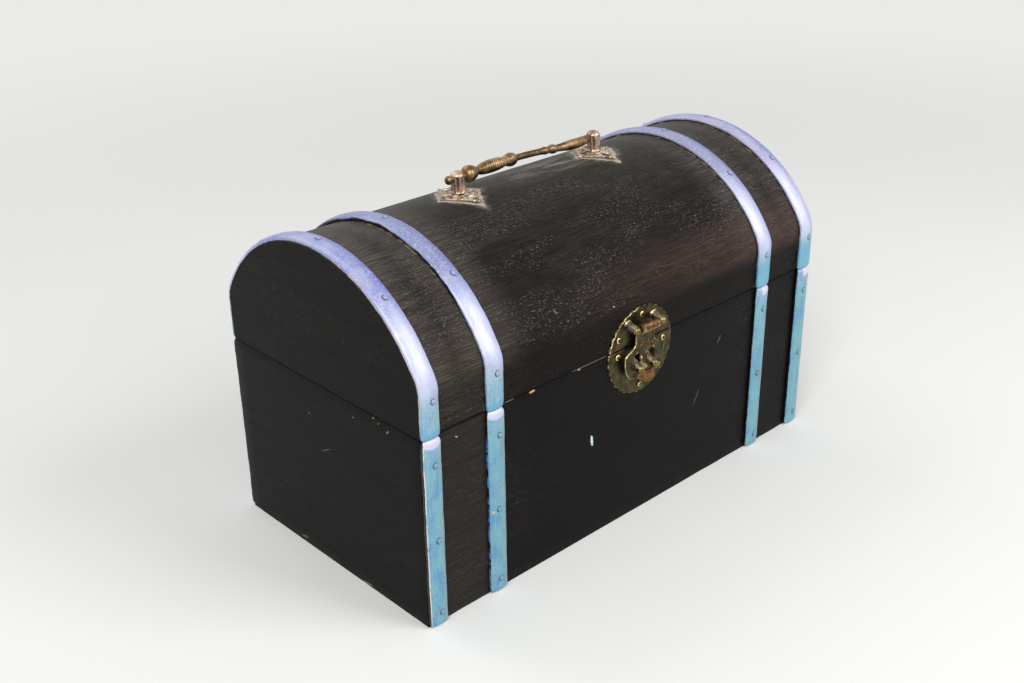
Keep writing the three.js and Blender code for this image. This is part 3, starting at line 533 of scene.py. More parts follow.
class Nodes:
    """Adds nodes to a tree and links them."""

    def __init__(self, tree):
        self.tree = tree

    def feed(self, socket, value):
        """Links a wire or a socket to an input, or sets the input's value."""
        value = getattr(value, "socket", value)
        if isinstance(value, bpy.types.NodeSocket):
            self.tree.links.new(value, socket)
        elif value is not None:
            socket.default_value = value

    def node(self, kind, *values, **settings):
        """Adds a node. Values feed its inputs in order, capitalised settings by name."""
        node = self.tree.nodes.new(kind)
        for name, value in settings.items():
            if name.islower():
                setattr(node, name, value)
        for key, value in (*enumerate(values), *settings.items()):
            if not str(key).islower():
                self.feed(node.inputs[key], value)
        return node

    def outs(self, kind, *values, **settings):
        """Adds a node and returns all its outputs."""
        return [Wire(self, socket) for socket in self.node(kind, *values, **settings).outputs]

    def add(self, kind, *values, out=0, **settings):
        """Adds a node and returns one output."""
        return Wire(self, self.node(kind, *values, **settings).outputs[out])

    def math(self, operation, *values):
        return self.add("ShaderNodeMath", *values, operation=operation)

    def vector(self, operation, *values, out=0, **settings):
        return self.add("ShaderNodeVectorMath", *values, operation=operation, out=out, **settings)

    def scaled(self, vector, scale):
        return self.vector("SCALE", vector, Scale=scale)

    def combine(self, x, y, z):
        return self.add("ShaderNodeCombineXYZ", x, y, z)

    def split(self, vector):
        return self.outs("ShaderNodeSeparateXYZ", vector)

    def mix(self, share, first, second):
        """Mixes two colours: wires, colour settings, or tuples of 0 to 255 screen values."""
        node = self.node("ShaderNodeMix", share, data_type="RGBA")
        for key, value in ((6, first), (7, second)):
            if isinstance(value, tuple):
                value = linear(*value)
            elif not isinstance(value, Wire):
                value = (*value, 1)
            self.feed(node.inputs[key], value)
        return Wire(self, node.outputs[2])

    def between(self, share, first, second):
        """A number that goes from the first to the second as a share goes from 0 to 1."""
        return self.add("ShaderNodeMix", share, None, first, second)

    def noise(self, vector, scale, detail=3.0, roughness=0.5, place=(0, 0, 0)):
        """Noise of one scale, or of a scale along each axis."""
        if isinstance(scale, tuple):
            vector, scale = self.stretch(vector, scale, place), 1.0
        return self.add("ShaderNodeTexNoise", Vector=vector, Scale=scale, Detail=detail, Roughness=roughness)

    def stretch(self, vector, scale, place=(0, 0, 0), turn=(0, 0, 0)):
        return self.add("ShaderNodeMapping", vector, place, turn, scale)

    def attribute(self, name, out=2):
        return self.add("ShaderNodeAttribute", attribute_name=name, out=out)

    def group(self, tree, **values):
        """Places a shared group with its own values and returns its first output."""
        return self.add("ShaderNodeGroup", node_tree=tree, **values)

    def bump(self, height, distance):
        return self.add("ShaderNodeBump", Height=height, Distance=distance)

    def surface(self, values):
        """Feeds a material's Principled surface."""
        for name, value in values.items():
            self.feed(self.tree.nodes["Principled BSDF"].inputs[name], value)

    def keep(self, geometry, name, value, kind="FLOAT"):
        """Stores a value on each point of a geometry."""
        return self.add("GeometryNodeStoreNamedAttribute", data_type=kind, domain="POINT", Geometry=geometry,
                        Name=name, Value=value)

    def on_curve(self, curve, mode, value):
        """A curve's place and direction at a length or a factor along it."""
        node = self.node("GeometryNodeSampleCurve", mode=mode, use_all_curves=True, Curves=curve,
                         **{mode.capitalize(): value})
        return [Wire(self, node.outputs[name]) for name in ("Position", "Tangent")]

    def heads(self, points, dome, radius, height, facing):
        """Nail heads on points, each facing its own way."""
        turn = self.add("FunctionNodeAlignRotationToVector", axis="Z", Vector=facing)
        return self.add("GeometryNodeInstanceOnPoints", Points=points, Instance=dome, Rotation=turn,
                        Scale=self.combine(radius, radius, height))

    def results(self, kind, **values):
        """Gives the tree its outputs and returns it."""
        for name in values:
            self.tree.interface.new_socket(name.capitalize(), in_out="OUTPUT",
                                           socket_type="NodeSocket" + kind)
        self.node("NodeGroupOutput", *values.values())
        return self.tree

    def finished(self, geometry, material):
        """Makes a tree's geometry real, in its material, and returns the tree."""
        geometry = self.add("GeometryNodeRealizeInstances", geometry)
        geometry = self.add("GeometryNodeSetMaterial", Geometry=geometry, Material=material)
        return self.results("Geometry", shape=self.add("GeometryNodeSetShadeSmooth", geometry))


def new_group(name, kind, **inputs):
    """A node group's helper and its inputs, each given by its type's name or by a value to start from."""
    tree = bpy.data.node_groups.new(name, kind + "NodeTree")
    for title, value in inputs.items():
        given = not isinstance(value, str)
        socket = {float: "Float", int: "Int", tuple: "Vector"}[type(value)] if given else value
        made = tree.interface.new_socket(title.replace("_", " ").capitalize(), in_out="INPUT",
                                         socket_type="NodeSocket" + socket)
        if given:
            made.default_value = value
    n = Nodes(tree)
    return n, n.outs("NodeGroupInput")[:len(inputs)]


def grow(name, source, tree, **values):
    """Runs a geometry tree on an object and returns what it makes as a plain mesh object."""
    modifier = source.modifiers.new("Shape", "NODES")
    modifier.node_group = tree
    for item in tree.interface.items_tree:
        key = item.name.lower().replace(" ", "_")
        if key in values:
            modifier[item.identifier] = values[key]
    mesh = evaluated_mesh(name, source)
    bpy.data.objects.remove(source)
    return new_object(name, mesh)


def path_object(points):
    """A straight-segment curve through points in millimetres, as the input of a tree."""
    curve = bpy.data.curves.new("path", "CURVE")
    curve.dimensions = "3D"
    spline = curve.splines.new("POLY")
    spline.points.add(len(points) - 1)
    for point, place in zip(spline.points, points):
        point.co = (*(c * MM for c in place), 1)
    return new_object("path", curve)


def band_tree():
    """A half-round band over a path, with brushed wavy edges, eased ends and painted-over nails."""
    n, (path, width, thickness, side_height, lift, start_ease, start_drop, end_ease, end_drop, rows, columns,
        waviness, seed, first_nail, last_nail, nails, nail_radius, nail_height, dark_side, paint) = new_group(
            "Half-round band", "Geometry", path="Geometry", width=BAND_WIDTH * MM,
            thickness=BAND_THICKNESS * MM, side_height=0.0014, lift=0.0, start_ease=0.003,
            start_drop=0.001, end_ease=0.003, end_drop=0.001,
            rows=200, columns=48, waviness=0.0006, seed=0.0, first_nail=0.008, last_nail=0.09, nails=3,
            nail_radius=BAND_NAIL_RADIUS * MM, nail_height=NAIL_HEIGHT * MM, dark_side=0.0, paint="Material")
    length = n.add("GeometryNodeCurveLength", path)
    u, v, _ = n.split(n.add("GeometryNodeInputPosition"))
    around = (u + 0.5) * FULL_TURN
    last_row = rows - 1
    row = (v + 0.5) * last_row
    along = ((row - 1) / (last_row - 2)).held() * length
    open_row = (row > 0.5) * (row < last_row - 0.5)

    def eased(distance, reach):
        """1 at the end, falling to 0 over the reach as a quarter circle does."""
        left = 1 - (distance / reach).held()
        return 1 - n.math("SQRT", 1 - left * left)

    start = eased(along, start_ease) * start_drop
    end = eased(length - along, end_ease) * end_drop
    sine, cosine = n.math("SINE", around), n.math("COSINE", around)

    def wave(scale, offset):
        spot = n.combine(along * scale, n.math("SIGN", cosine) * 3.7, seed + offset)
        return n.noise(spot, 1.0, 2.0) - 0.5

    sway = wave(75.0, 0) * 1.2 + wave(420.0, 40) * 0.5
    half = width / 2 + sway * waviness - (start + end) * 0.8
    lump = n.noise(n.combine(along * 60.0, cosine * 0.7, seed + 9), 1.0) - 0.5
    top = thickness - start - end + lump * 0.00025
    side = n.math("MINIMUM", side_height, top * 0.5)
    crown = side + (top - side) * sine
    flank = n.math("MAXIMUM", lift, side + sine * (side * 4))
    above = sine > 0
    out = crown * above + flank * (1 - above)
    core = top * 0.4
    out = core + (out - core) * open_row

    def on_path(distance, height, sideways):
        """A point beside the path, and the way out of the wood there."""
        place, tangent = n.on_curve(path, "LENGTH", distance)
        outward = n.vector("NORMALIZE", n.vector("CROSS_PRODUCT", (1, 0, 0), tangent))
        raised = n.vector("ADD", place, n.scaled(outward, height))
        return n.vector("ADD", raised, n.combine(sideways, 0, 0)), outward

    spot, outward = on_path(along, out, half * cosine * open_row)

    index = n.add("GeometryNodeInputIndex")
    nail_along = first_nail + (last_nail - first_nail) / (nails - 1) * index
    jitter = n.add("ShaderNodeTexWhiteNoise", n.combine(index, seed, 1))
    nail_spot, nail_out = on_path(nail_along, thickness - 0.0001, (jitter - 0.5) * 0.0014 + 0.0007)
    points = n.add("GeometryNodePoints", Count=nails, Position=nail_spot)
    nearest, distance = n.outs("GeometryNodeProximity", points, None, spot, target_element="POINTS")[:2]
    ring = 1 - (abs(distance - nail_radius * 1.25) / (nail_radius * 0.45)).held()
    dent = n.scaled(outward, ring * -0.00028)

    shaped = n.add("GeometryNodeMeshGrid", 1.0, 1.0, columns, rows)
    nail_way = n.split(n.vector("NORMALIZE", n.vector("SUBTRACT", nearest, spot)))
    # nail_gap and nail_left place a painted shadow round each nail, darker on its left, in the band's paint.
    for name, value in (("nail_gap", distance), ("nail_left", nail_way[0]), ("dark_side", cosine * dark_side),
                        ("crown", sine)):
        shaped = n.keep(shaped, name, value)
    shaped = n.keep(shaped, "band_place", n.combine(n.split(spot)[0], along, cosine), "FLOAT_VECTOR")
    shaped = n.add("GeometryNodeSetPosition", Geometry=shaped, Position=n.vector("ADD", spot, dent))
    shaped = n.add("GeometryNodeMergeByDistance", Geometry=shaped, Distance=MERGE_METRES)

    dome = n.add("GeometryNodeMeshUVSphere", 24, 14, 1.0)
    heads = n.heads(points, dome, nail_radius, nail_height, nail_out)
    heads = n.keep(n.add("GeometryNodeRealizeInstances", heads), "nail_head", 1.0)
    joined = n.node("GeometryNodeJoinGeometry", heads)
    n.feed(joined.inputs[0], shaped)
    return n.finished(joined.outputs[0], paint)


def nail_tree():
    """Round nail heads on the points of a mesh, each facing the way stored there as facing."""
    n, (places, radius, height, tilt, seed, metal) = new_group(
        "Round nails", "Geometry", places="Geometry", radius=0.0016, height=NAIL_HEIGHT * MM, tilt=0.12,
        seed=3, metal="Material")
    x, y, z = n.split(n.add("GeometryNodeInputPosition"))
    across = n.math("SQRT", x ** 2 + y ** 2)
    crease = abs(across - 0.55).ramp(0.0, 0.14, -0.14, 0.0)
    dome = n.add("GeometryNodeMeshUVSphere", 28, 16, 1.0)
    # A bright ring round each head, stored as wear so that the metal shows it bright: a painted highlight.
    dome = n.keep(dome, "worn", across.ramp(0.5, 0.7) * across.ramp(1.0, 0.9))
    dome = n.add("GeometryNodeSetPosition", dome, Offset=n.combine(0, 0, crease * n.math("SIGN", z)))
    facing = n.add("GeometryNodeInputNamedAttribute", data_type="FLOAT_VECTOR", Name="facing")
    drift = n.add("FunctionNodeRandomValue", (-1, -1, -1), (1, 1, 1), data_type="FLOAT_VECTOR", Seed=seed)
    facing = n.vector("ADD", facing, n.scaled(drift, tilt))
    return n.finished(n.heads(places, dome, radius, height, facing), metal)


def turned_tree():
    """A turned bar from a profile drawn as (distance, radius), with flutes or hatching cut into a stretch."""
    n, (profile, around, rows, flutes, depth, twist, sharpness, first, last, metal) = new_group(
        "Turned bar", "Geometry", profile="Geometry", around=97, rows=200, flutes=8, depth=0.0004, twist=0.0,
        sharpness=2.0, first=0.0, last=0.01, metal="Material")
    u, v, _ = n.split(n.add("GeometryNodeInputPosition"))
    turn = (u + 0.5) * FULL_TURN
    along, radius, _ = n.split(n.on_curve(profile, "FACTOR", v + 0.5)[0])
    window = (along - first).ramp(0, 0.0007) * (last - along).ramp(0, 0.0007)
    groove = (n.math("COSINE", turn * flutes + along * twist) * 0.5 + 0.5) ** sharpness
    radius = n.math("MAXIMUM", radius - groove * window * depth, 0)
    spot = n.combine(along, radius * n.math("COSINE", turn), radius * n.math("SINE", turn))
    bar = n.add("GeometryNodeMeshGrid", 1.0, 1.0, around, rows)
    bar = n.add("GeometryNodeSetPosition", Geometry=bar, Position=spot)
    return n.finished(n.add("GeometryNodeMergeByDistance", Geometry=bar, Distance=MERGE_METRES), metal)


# Shader groups

@functools.cache
def grain():
    """Open wood grain along X: fine streaks, short pores, and short pale dashes where dust stays."""
    n, (vector, fineness) = new_group("Open grain", "Shader", vector="Vector", fineness=1.0)
    scaled = n.scaled(vector, fineness)
    warp = n.noise(scaled, (6, 25, 25), 2.0)
    bent = n.vector("ADD", scaled, n.combine(0, warp * 0.004, 0))
    broad = n.noise(bent, (14, 260, 260), 3.0, 0.55)
    fine = n.noise(bent, (80, 1750, 1750), 3.0, 0.62)
    pores = n.noise(bent, (170, 1700, 1700), 1.0)
    dashes = n.noise(bent, (620, 1900, 1900), 1.0)
    patch = n.noise(scaled, (18, 60, 60), 3.0, 0.6).ramp(0.36, 0.62)
    return n.results("Float", streaks=(broad * 0.15 + fine * 0.85).ramp(0.44, 0.64),
                     pores=pores.ramp(0.56, 0.66), dashes=dashes.ramp(0.6, 0.72) * patch)


@functools.cache
def specks():
    """Small irregular specks of dust or bare wood."""
    n, (vector, scale, amount) = new_group("Specks", "Shader", vector="Vector", scale=400.0, amount=0.3)
    fine = n.noise(vector, scale, 3.0, 0.65)
    broad = n.noise(vector, scale * 0.08, 3.0, 0.6)
    level = fine * 0.7 + broad * 0.4 - (0.86 - amount * 0.3)
    return n.results("Float", mask=(level * 14.0).held())


@functools.cache
def chip():
    """One small chip or scratch: an oval at a place, with a ragged edge."""
    n, (vector, place, turn, size) = new_group("Chip", "Shader", vector="Vector", place="Vector",
                                               turn="Vector", size=(1, 1, 1))
    near = n.vector("SUBTRACT", vector, place)
    near = n.add("ShaderNodeVectorRotate", rotation_type="EULER_XYZ", Vector=near, Rotation=turn)
    ragged = (n.noise(vector, 900.0) - 0.5) * 0.9
    distance = n.vector("LENGTH", n.vector("DIVIDE", near, size), out=1) + ragged
    return n.results("Float", mask=distance.ramp(1.0, 0.75))


@functools.cache
def rubbing():
    """Where an edge is rubbed, and where a painted highlight is stored with the wear: the stored value,
    broken up by noise.
    """
    n, (vector, worn, amount, scale) = new_group("Rubbed edges", "Shader", vector="Vector", worn=0.0,
                                                 amount=0.5, scale=300.0)
    level = worn + (n.noise(vector, scale, 4.0, 0.6) - 0.5) * 1.1
    return n.results("Float", mask=((level - (1.0 - amount)) * 4.0).held())


# Materials

def linear(red, green, blue):
    """A colour written as 0 to 255 screen values, as the renderer uses it."""
    values = (value / 255 for value in (red, green, blue))
    return (*(v / 12.92 if v <= 0.04045 else ((v + 0.055) / 1.055) ** 2.4 for v in values), 1.0)


def new_material(name):
    """A material with only a Principled surface, its node helper and its Object coordinates."""
    material = bpy.data.materials.new(name)
    material.use_nodes = True
    n = Nodes(material.node_tree)
    return material, n, n.add("ShaderNodeTexCoord", out=3)


def add_marks(n, colour, place, marks):
    """Paints each chip or scratch over a colour."""
    for spot, turn, size, shade in marks:
        mask = n.group(chip(), Vector=place, Place=Vector(spot) * MM, Turn=turn, Size=Vector(size) * MM)
        colour = n.mix(mask, colour, shade)
    return colour


def rub_beside_bands(n, x, reach):
    """1 against a band's edge, falling to 0 at a reach from it."""
    return n.math("MAXIMUM", *[(abs(abs(x) - centre * MM) - BAND_WIDTH / 2 * MM).ramp(reach, 0.0)
                               for centre in BAND_XS[2:]])


def rosette_halo(n, x, y, place):
    """Pale residue under and close round each rosette, fading into scuffed paint."""
    reach = abs(abs(x) - POST_X * MM) / 0.0130 + abs(y - HANDLE_BACK * MM) / 0.0180
    edge = reach + (n.noise(place, 260.0, 4.0, 0.65) - 0.5) * 0.42
    under = edge.ramp(1.16, 1.06) * reach.ramp(0.62, 0.92, 0.25, 1.0) * 0.75
    cloud = n.noise(place, 150.0, 4.0, 0.65).ramp(0.35, 0.7)
    return n.math("MAXIMUM", under, edge.ramp(1.5, 1.1) * cloud * 0.3)


def painted_wood(name, turn=(0, 0, 0), grainy=1.0, dusty=0.0, rubbed=0.0, marks=(), halos=False):
    """Black satin paint over open grain, with dust in the grain, rubbed edges and small chips."""
    material, n, place = new_material(name)
    look = bpy.context.scene.chest_finish
    laid = n.stretch(place, (1, 1, 1), turn=turn)
    streaks, pores, dashes = n.outs("ShaderNodeGroup", node_tree=grain(), Vector=laid)
    x, y, z = n.split(place)
    over_lid = z.ramp(0.120, 0.136)
    open_grain = n.math("MAXIMUM", over_lid, rub_beside_bands(n, x, 0.030) * 0.5)
    open_grain = (open_grain * 0.8 + 0.2) * grainy
    colour = n.mix((streaks * 0.34 + 0.07) * open_grain, look.paint_black, look.paint_brown)
    colour = n.mix(dashes * open_grain * 0.55, colour, (128, 122, 114))
    if not any(turn):
        scuffed = x.ramp(-0.098, -0.101) * z.ramp(0.150, 0.125)
        colour = n.mix(scuffed * (streaks * 0.1 + 0.1), colour, (94, 86, 77))
    # Painted shade: a near-black line along the seam between lid and body, on both sides of it.
    seam = abs(z - SEAM_HEIGHT * MM).ramp(0.0011, 0.0006)
    colour = n.mix(seam * 0.85, colour, (3, 3, 3))
    if dusty:
        cloud = n.noise(laid, (9, 24, 24), 4.0, 0.6).ramp(0.46, 0.74)
        level = cloud * 0.3 + z.ramp(0.160, 0.179, 0.0, 0.18) + rub_beside_bands(n, x, 0.024) * 0.62
        haze = (level * over_lid * dusty * (streaks * 0.36 + 0.22)).held()
        colour = n.mix(haze, colour, look.dust)
        # Painted sheen: a brownish band over the lid's front shoulder, stronger to the right, where light
        # glances off the paint.
        sheen = abs(z - 0.136).ramp(0.017, 0.006) * x.ramp(-0.08, 0.11)
        colour = n.mix(sheen * (streaks * 0.4 + 0.3), colour, (78, 60, 54))
        line = rub_beside_bands(n, x, 0.0016) * n.noise(place, 240.0).ramp(0.45, 0.62)
        line = line * z.ramp(0.140, 0.166, 0.12, 0.65) * (abs(x) < 0.1485)
        colour = n.mix(line, colour, (160, 142, 118))
        n.surface({"Specular Tint": (1.0, 0.84, 0.77, 1)})
    if halos:
        behind = abs(y - 0.009).ramp(0.019, 0.004) * x.ramp(-0.03, 0.02) * x.ramp(0.07, 0.05)
        streaky = n.noise(place, (45, 230, 230), 4.0, 0.6).ramp(0.42, 0.64)
        colour = n.mix(behind * streaky * 0.6, colour, (150, 140, 128))
        colour = n.mix(rosette_halo(n, x, y, place), colour, (198, 184, 170))
    dust = n.group(specks(), Vector=n.stretch(laid, (0.5, 1, 1)), Scale=1000.0, Amount=0.22 + dusty * 0.2)
    colour = n.mix(dust * 0.7, colour, (166, 160, 150))
    if rubbed:
        bare = n.group(rubbing(), Vector=place, Worn=n.attribute("worn"), Amount=rubbed, Scale=200.0)
        colour = n.mix(bare * 0.7, colour, look.bare_wood)
    n.surface({
        "Base Color": add_marks(n, colour, place, marks), "Roughness": streaks * 0.14 + 0.38,
        "Specular IOR Level": 0.07, "Normal": n.bump((streaks * 0.7 - pores * 0.4) * open_grain, 0.00009)})
    return material


def bare_wood(name, turn=(0, 0, 0)):
    """Unpainted pine, inside the chest."""
    material, n, place = new_material(name)
    place = n.stretch(place, (1, 1, 1), turn=turn)
    streaks = n.group(grain(), Vector=place, Fineness=0.5)
    rings = n.noise(place, (3, 60, 60), 2.0).ramp(0.35, 0.65)
    colour = n.mix(rings, bpy.context.scene.chest_finish.bare_wood, (150, 112, 72))
    n.surface({"Base Color": n.mix(streaks * 0.45, colour, (120, 84, 52)), "Roughness": 0.78,
               "Normal": n.bump(streaks, 0.00008)})
    return material


def band_paint(name):
    """Pearl paint on a band, steel blue as it stands and bluer on top; over the shoulder it is pale lavender,
    partly a painted highlight.
    """
    material, n, place = new_material(name)
    look = bpy.context.scene.chest_finish
    _, depth, z = n.split(place)
    flat = n.attribute("band_place", 1)
    x, _, across = n.split(flat)
    head, gap, crown, outer = (n.attribute(a) for a in ("nail_head", "nail_gap", "crown", "dark_side"))
    patches = n.noise(flat, (150, 75, 0), 4.0, 0.6).ramp(0.4, 0.62)
    brush = n.noise(flat, (780, 55, 0), 3.0, 0.6).ramp(0.4, 0.64)
    fine = n.noise(place, 900.0, 3.0, 0.65).ramp(0.5, 0.72)
    on_lid = z > SEAM_HEIGHT * MM
    far = x > 0.0
    over = n.between(far, z.ramp(0.117, 0.136), z.ramp(0.120, 0.132))

    # The standing part, the shoulder and the top, one over the other
    standing = n.mix(patches, look.band_teal, look.band_steel)
    standing = n.mix(brush * 0.4, standing, (146, 174, 174))
    # Painted sheen: a paler grey-green over the right side of each band's standing part.
    standing = n.mix(across.ramp(0.15, 0.75) * (brush * 0.3 + 0.3), standing, (142, 164, 152))
    # The pale shoulder colour is partly the band's own pearl paint and partly a painted highlight where light
    # catches the shoulder.
    shoulder = n.mix(patches * 0.35, look.band_pearl, look.band_lavender)
    rosy = n.noise(flat, (330, 42, 0), 4.0, 0.65, (3, 5, 0)).ramp(0.54, 0.66)
    shoulder = n.mix(rosy * 0.5, shoulder, (226, 200, 198))
    inky = n.noise(flat, (400, 60, 0), 4.0, 0.65, (9, 1, 0)).ramp(0.55, 0.66)
    shoulder = n.mix(inky * 0.4, shoulder, (158, 172, 226))
    # Painted shade and highlight: each band's right half is painted darker and bluer over the shoulder and
    # top, as if shaded from light on the left, and on the bands right of the middle the top's left half is
    # painted paler, a painted highlight.
    right_half = across.ramp(-0.1, 0.7)
    shoulder = n.mix(right_half * n.between(far, 0.5, 0.8), shoulder, (164, 166, 214))
    top = n.mix(patches, look.band_lavender, look.band_blue)
    top = n.mix(brush * 0.3, top, (190, 182, 200))
    top = n.mix(right_half * 0.85, top, (76, 84, 172))
    top = n.mix(across.ramp(0.3, -0.4) * far * 0.5, top, (186, 174, 194))
    top = n.mix((abs(x) < 0.125) * z.ramp(0.152, 0.172, 0.0, 0.5), top, (84, 98, 140))
    colour = n.mix(over, standing, n.mix(z.ramp(0.148, 0.172), shoulder, top))
    colour = n.mix(fine * 0.3, colour, n.mix(over, (176, 204, 214), (222, 220, 238)))

    # Each side of the seam
    stray = n.noise(flat, (700, 300, 0)) * 0.0016
    colour = n.mix(z.ramp(0.088, 0.102) * (fine * 0.35 + 0.15), colour, look.band_pearl)
    # Painted highlight: the top end of each body band under the seam is painted pale lavender, mostly on the
    # right part for the bands right of the middle.
    bow = across ** 2 * 0.0018
    lip = (z - (bow + stray)).ramp(0.0986, 0.1004) * (z < SEAM_HEIGHT * MM)
    lip = lip * n.between(far, 0.85, across.ramp(-0.5, -0.1))
    colour = n.mix(lip, colour, n.mix(brush, (206, 206, 232), (216, 200, 218)))
    # Painted shade: a slanted teal patch at the foot of each lid band, where its eased end turns down towards
    # the seam.
    slanted = across * n.between(far, 0.0009, 0.003) + stray + far * 0.0125
    foot = (z - slanted).ramp(0.1090, 0.1084) * on_lid
    colour = n.mix(foot * n.between(far, 0.8, 0.6), colour, (92, 164, 194))
    scuffs = n.group(specks(), Vector=place, Scale=330.0, Amount=0.32)
    colour = n.mix(scuffs * 0.45, colour, n.mix(over, (176, 184, 176), (214, 190, 204)))

    # Nails: their heads' own tint, and a painted shadow round each head, darkest on its left side
    colour = n.mix(head * 0.6, colour, n.mix(over, (120, 140, 152), (146, 152, 186)))
    # The ring is a painted shadow round each head, darker on the left.
    ring = gap.ramp(0.0020, 0.0016) * (1 - head)
    colour = n.mix(ring * n.attribute("nail_left").ramp(-0.7, 0.4, 0.25, 0.95), colour, (34, 38, 70))
    for spot, size, shade in BAND_STAINS:
        stain = n.group(chip(), Vector=place, Place=Vector(spot) * MM, Size=(size * MM,) * 3)
        colour = n.mix(stain * 0.8, colour, shade)

    # Edges: black wood paint low on the flanks, and a cream line along the outer ones, partly a pale paint
    # edge and partly a painted highlight
    ragged = n.noise(place, 420.0, 3.0, 0.6) - 0.5
    bare = n.noise(flat, (8, 26, 0), 3.0, 0.6).ramp(0.4, 0.6, -0.2, 0.3)
    beside = (x < BAND_XS[1] * MM) * (x > (BAND_XS[1] - BAND_WIDTH) * MM)
    bare_crest = beside * z.ramp(0.150, 0.170)
    # On the lid the black stays low on the flanks, except up each band's right flank, where it rises higher.
    clean_lid = on_lid * (0.28 - (bare_crest * 0.3 + across.ramp(0.0, 0.4, 0.0, 0.58)))
    flank_top = crown + ragged * n.between(on_lid, 0.5, 0.2) + (clean_lid + bare * bare_crest)
    low = flank_top.ramp(0.22, 0.1) * (1 - head)
    smears = n.noise(flat, (900, 160, 0), 4.0, 0.65).ramp(0.46, 0.54) * beside * z.ramp(0.094, 0.084)
    colour = n.mix(low, colour, n.mix(smears, look.paint_black, (90, 130, 196)))
    edge = outer + ragged * 0.05
    broken = n.noise(flat, (0, 90, 0), 4.0, 0.7).ramp(0.36, 0.5)
    thin = crown.ramp(-0.06, -0.12) * (outer > 0.5)
    # The cream line is partly the pale edge of the paint and partly a painted highlight along it.
    cream = n.between(on_lid, edge.ramp(0.89, 0.915), thin) * broken * depth.ramp(0.0, -0.03)
    colour = n.mix(cream, colour, (222, 212, 206))
    dark = edge.ramp(0.962, 0.976) * (1 - on_lid)
    n.surface({
        "Base Color": n.mix(dark, colour, look.paint_black), "Roughness": fine * 0.1 + 0.42,
        "Metallic": (1 - n.math("MAXIMUM", dark, low)) * 0.2,
        "Normal": n.bump(brush * 0.5 + fine * 0.5, 0.00006)})
    return material


def metal(name, dark, light, bright, roughness, amount=0.45, scale=260.0, dusty=0.0):
    """Aged metal: mottled, bright where the stored wear says (rubbing, and painted highlights on rims and
    nails), dusty in places.
    """
    material, n, place = new_material(name)
    patches = n.noise(place, scale, 4.0, 0.6).ramp(0.35, 0.7)
    # rubbed also brings in the painted highlights stored with the wear.
    rubbed = n.group(rubbing(), Vector=place, Worn=n.attribute("worn"), Amount=amount, Scale=scale * 1.7)
    colour = n.mix(rubbed, n.mix(patches, dark, light), bright)
    metallic = 1.0
    if dusty:
        settled = n.noise(place, scale * 1.3, 4.0, 0.65).ramp(0.62 - dusty * 0.3, 0.78 - dusty * 0.3)
        settled = settled * (0.9 - rubbed * 0.7)
        colour = n.mix(settled, colour, (190, 174, 158))
        metallic = 1 - settled
    n.surface({
        "Base Color": colour, "Metallic": metallic, "Roughness": patches * 0.15 + roughness - rubbed * 0.15,
        "Normal": n.bump(n.noise(place, scale * 3, 2.0), 0.00002)})
    return material


# Settings

def colour_property(title, text, value):
    return FloatVectorProperty(name=title, description=text, default=linear(*value)[:3], size=3,
                               min=0.0, max=1.0, subtype="COLOR")


def length_property(title, text, value):
    return FloatProperty(name=title, description=text, default=value * MM, min=0.0,
                         subtype="DISTANCE", unit="LENGTH")


class ChestFinish(bpy.types.PropertyGroup):
    """Colours of the paint, wood and dust."""
    paint_black: colour_property("Black paint", "Paint of the wood", (11, 10, 10))
    paint_brown: colour_property("Brown grain", "Where the grain shows through the paint", (56, 50, 46))
    dust: colour_property("Dust", "Dust in the grain of the lid", (118, 110, 103))
    bare_wood: colour_property("Bare wood", "Wood under the paint", (186, 146, 100))
    # The band shoulder colour is partly pearl paint and partly a painted highlight.
    band_pearl: colour_property("Band shoulder", "Paint of the bands over the shoulder", (196, 199, 224))
    band_lavender: colour_property("Lid band", "Main paint of the bands on top of the lid", (140, 146, 190))
    band_blue: colour_property("Lid band patches", "Bluer patches on top of the lid", (106, 120, 184))
    band_teal: colour_property("Body band", "Main paint of the bands where they stand", (106, 165, 180))
    band_steel: colour_property("Body band patches", "Deeper patches where they stand", (84, 142, 184))


class ChestSizes(bpy.types.PropertyGroup):
    """Fine sizes that the solids don't hold."""
    board_rounding: length_property("Board rounding", "Rounding of the boards' edges", 0.45)
    board_wear: length_property("Board wear", "How deep the boards' edges are worn", 0.3)
    band_waviness: length_property("Band waviness", "How far a band's brushed edge strays", 0.7)
    flute_depth: length_property("Flute depth", "Depth of the flutes on the handle's posts", 0.95)
    flutes: IntProperty(name="Flutes", description="Flutes round a post", default=8, min=3)
    rib_pitch: length_property("Rib pitch", "Distance between the ribs on the bail's barrel", 1.55)


class ChestStage(bpy.types.PropertyGroup):
    """Floor, light and camera."""
    floor_size: FloatProperty(name="Floor", description="Width of the floor", default=16.0, min=1.0,
                              unit="LENGTH")
    key_power: FloatProperty(name="Key light", description="Power of the main light", default=19.0,
                             unit="POWER")
    world_strength: FloatProperty(name="World", description="Strength of the light all round",
                                  default=0.5, min=0.0)
    lens: FloatProperty(name="Lens", description="Focal length", default=44.97, unit="CAMERA")


# Pieces

def wooden_board(name, lo, hi, materials, inward=None, share=1.0):
    """A board with rounded, unevenly worn edges; its face towards inward is left bare."""
    sizes = bpy.context.scene.chest_sizes
    bm = bmesh.new()
    grid_box(bm, lo, hi, BOARD_GRID, sizes.board_rounding / MM * share)
    wear_edges(bm, lo, hi, sizes.board_wear / MM * share)
    if inward:
        bm.normal_update()
        for face in bm.faces:
            if face.normal.dot(Vector(inward)) > 0.9:
                face.material_index = 1
    return in_metres(name, bm, materials)


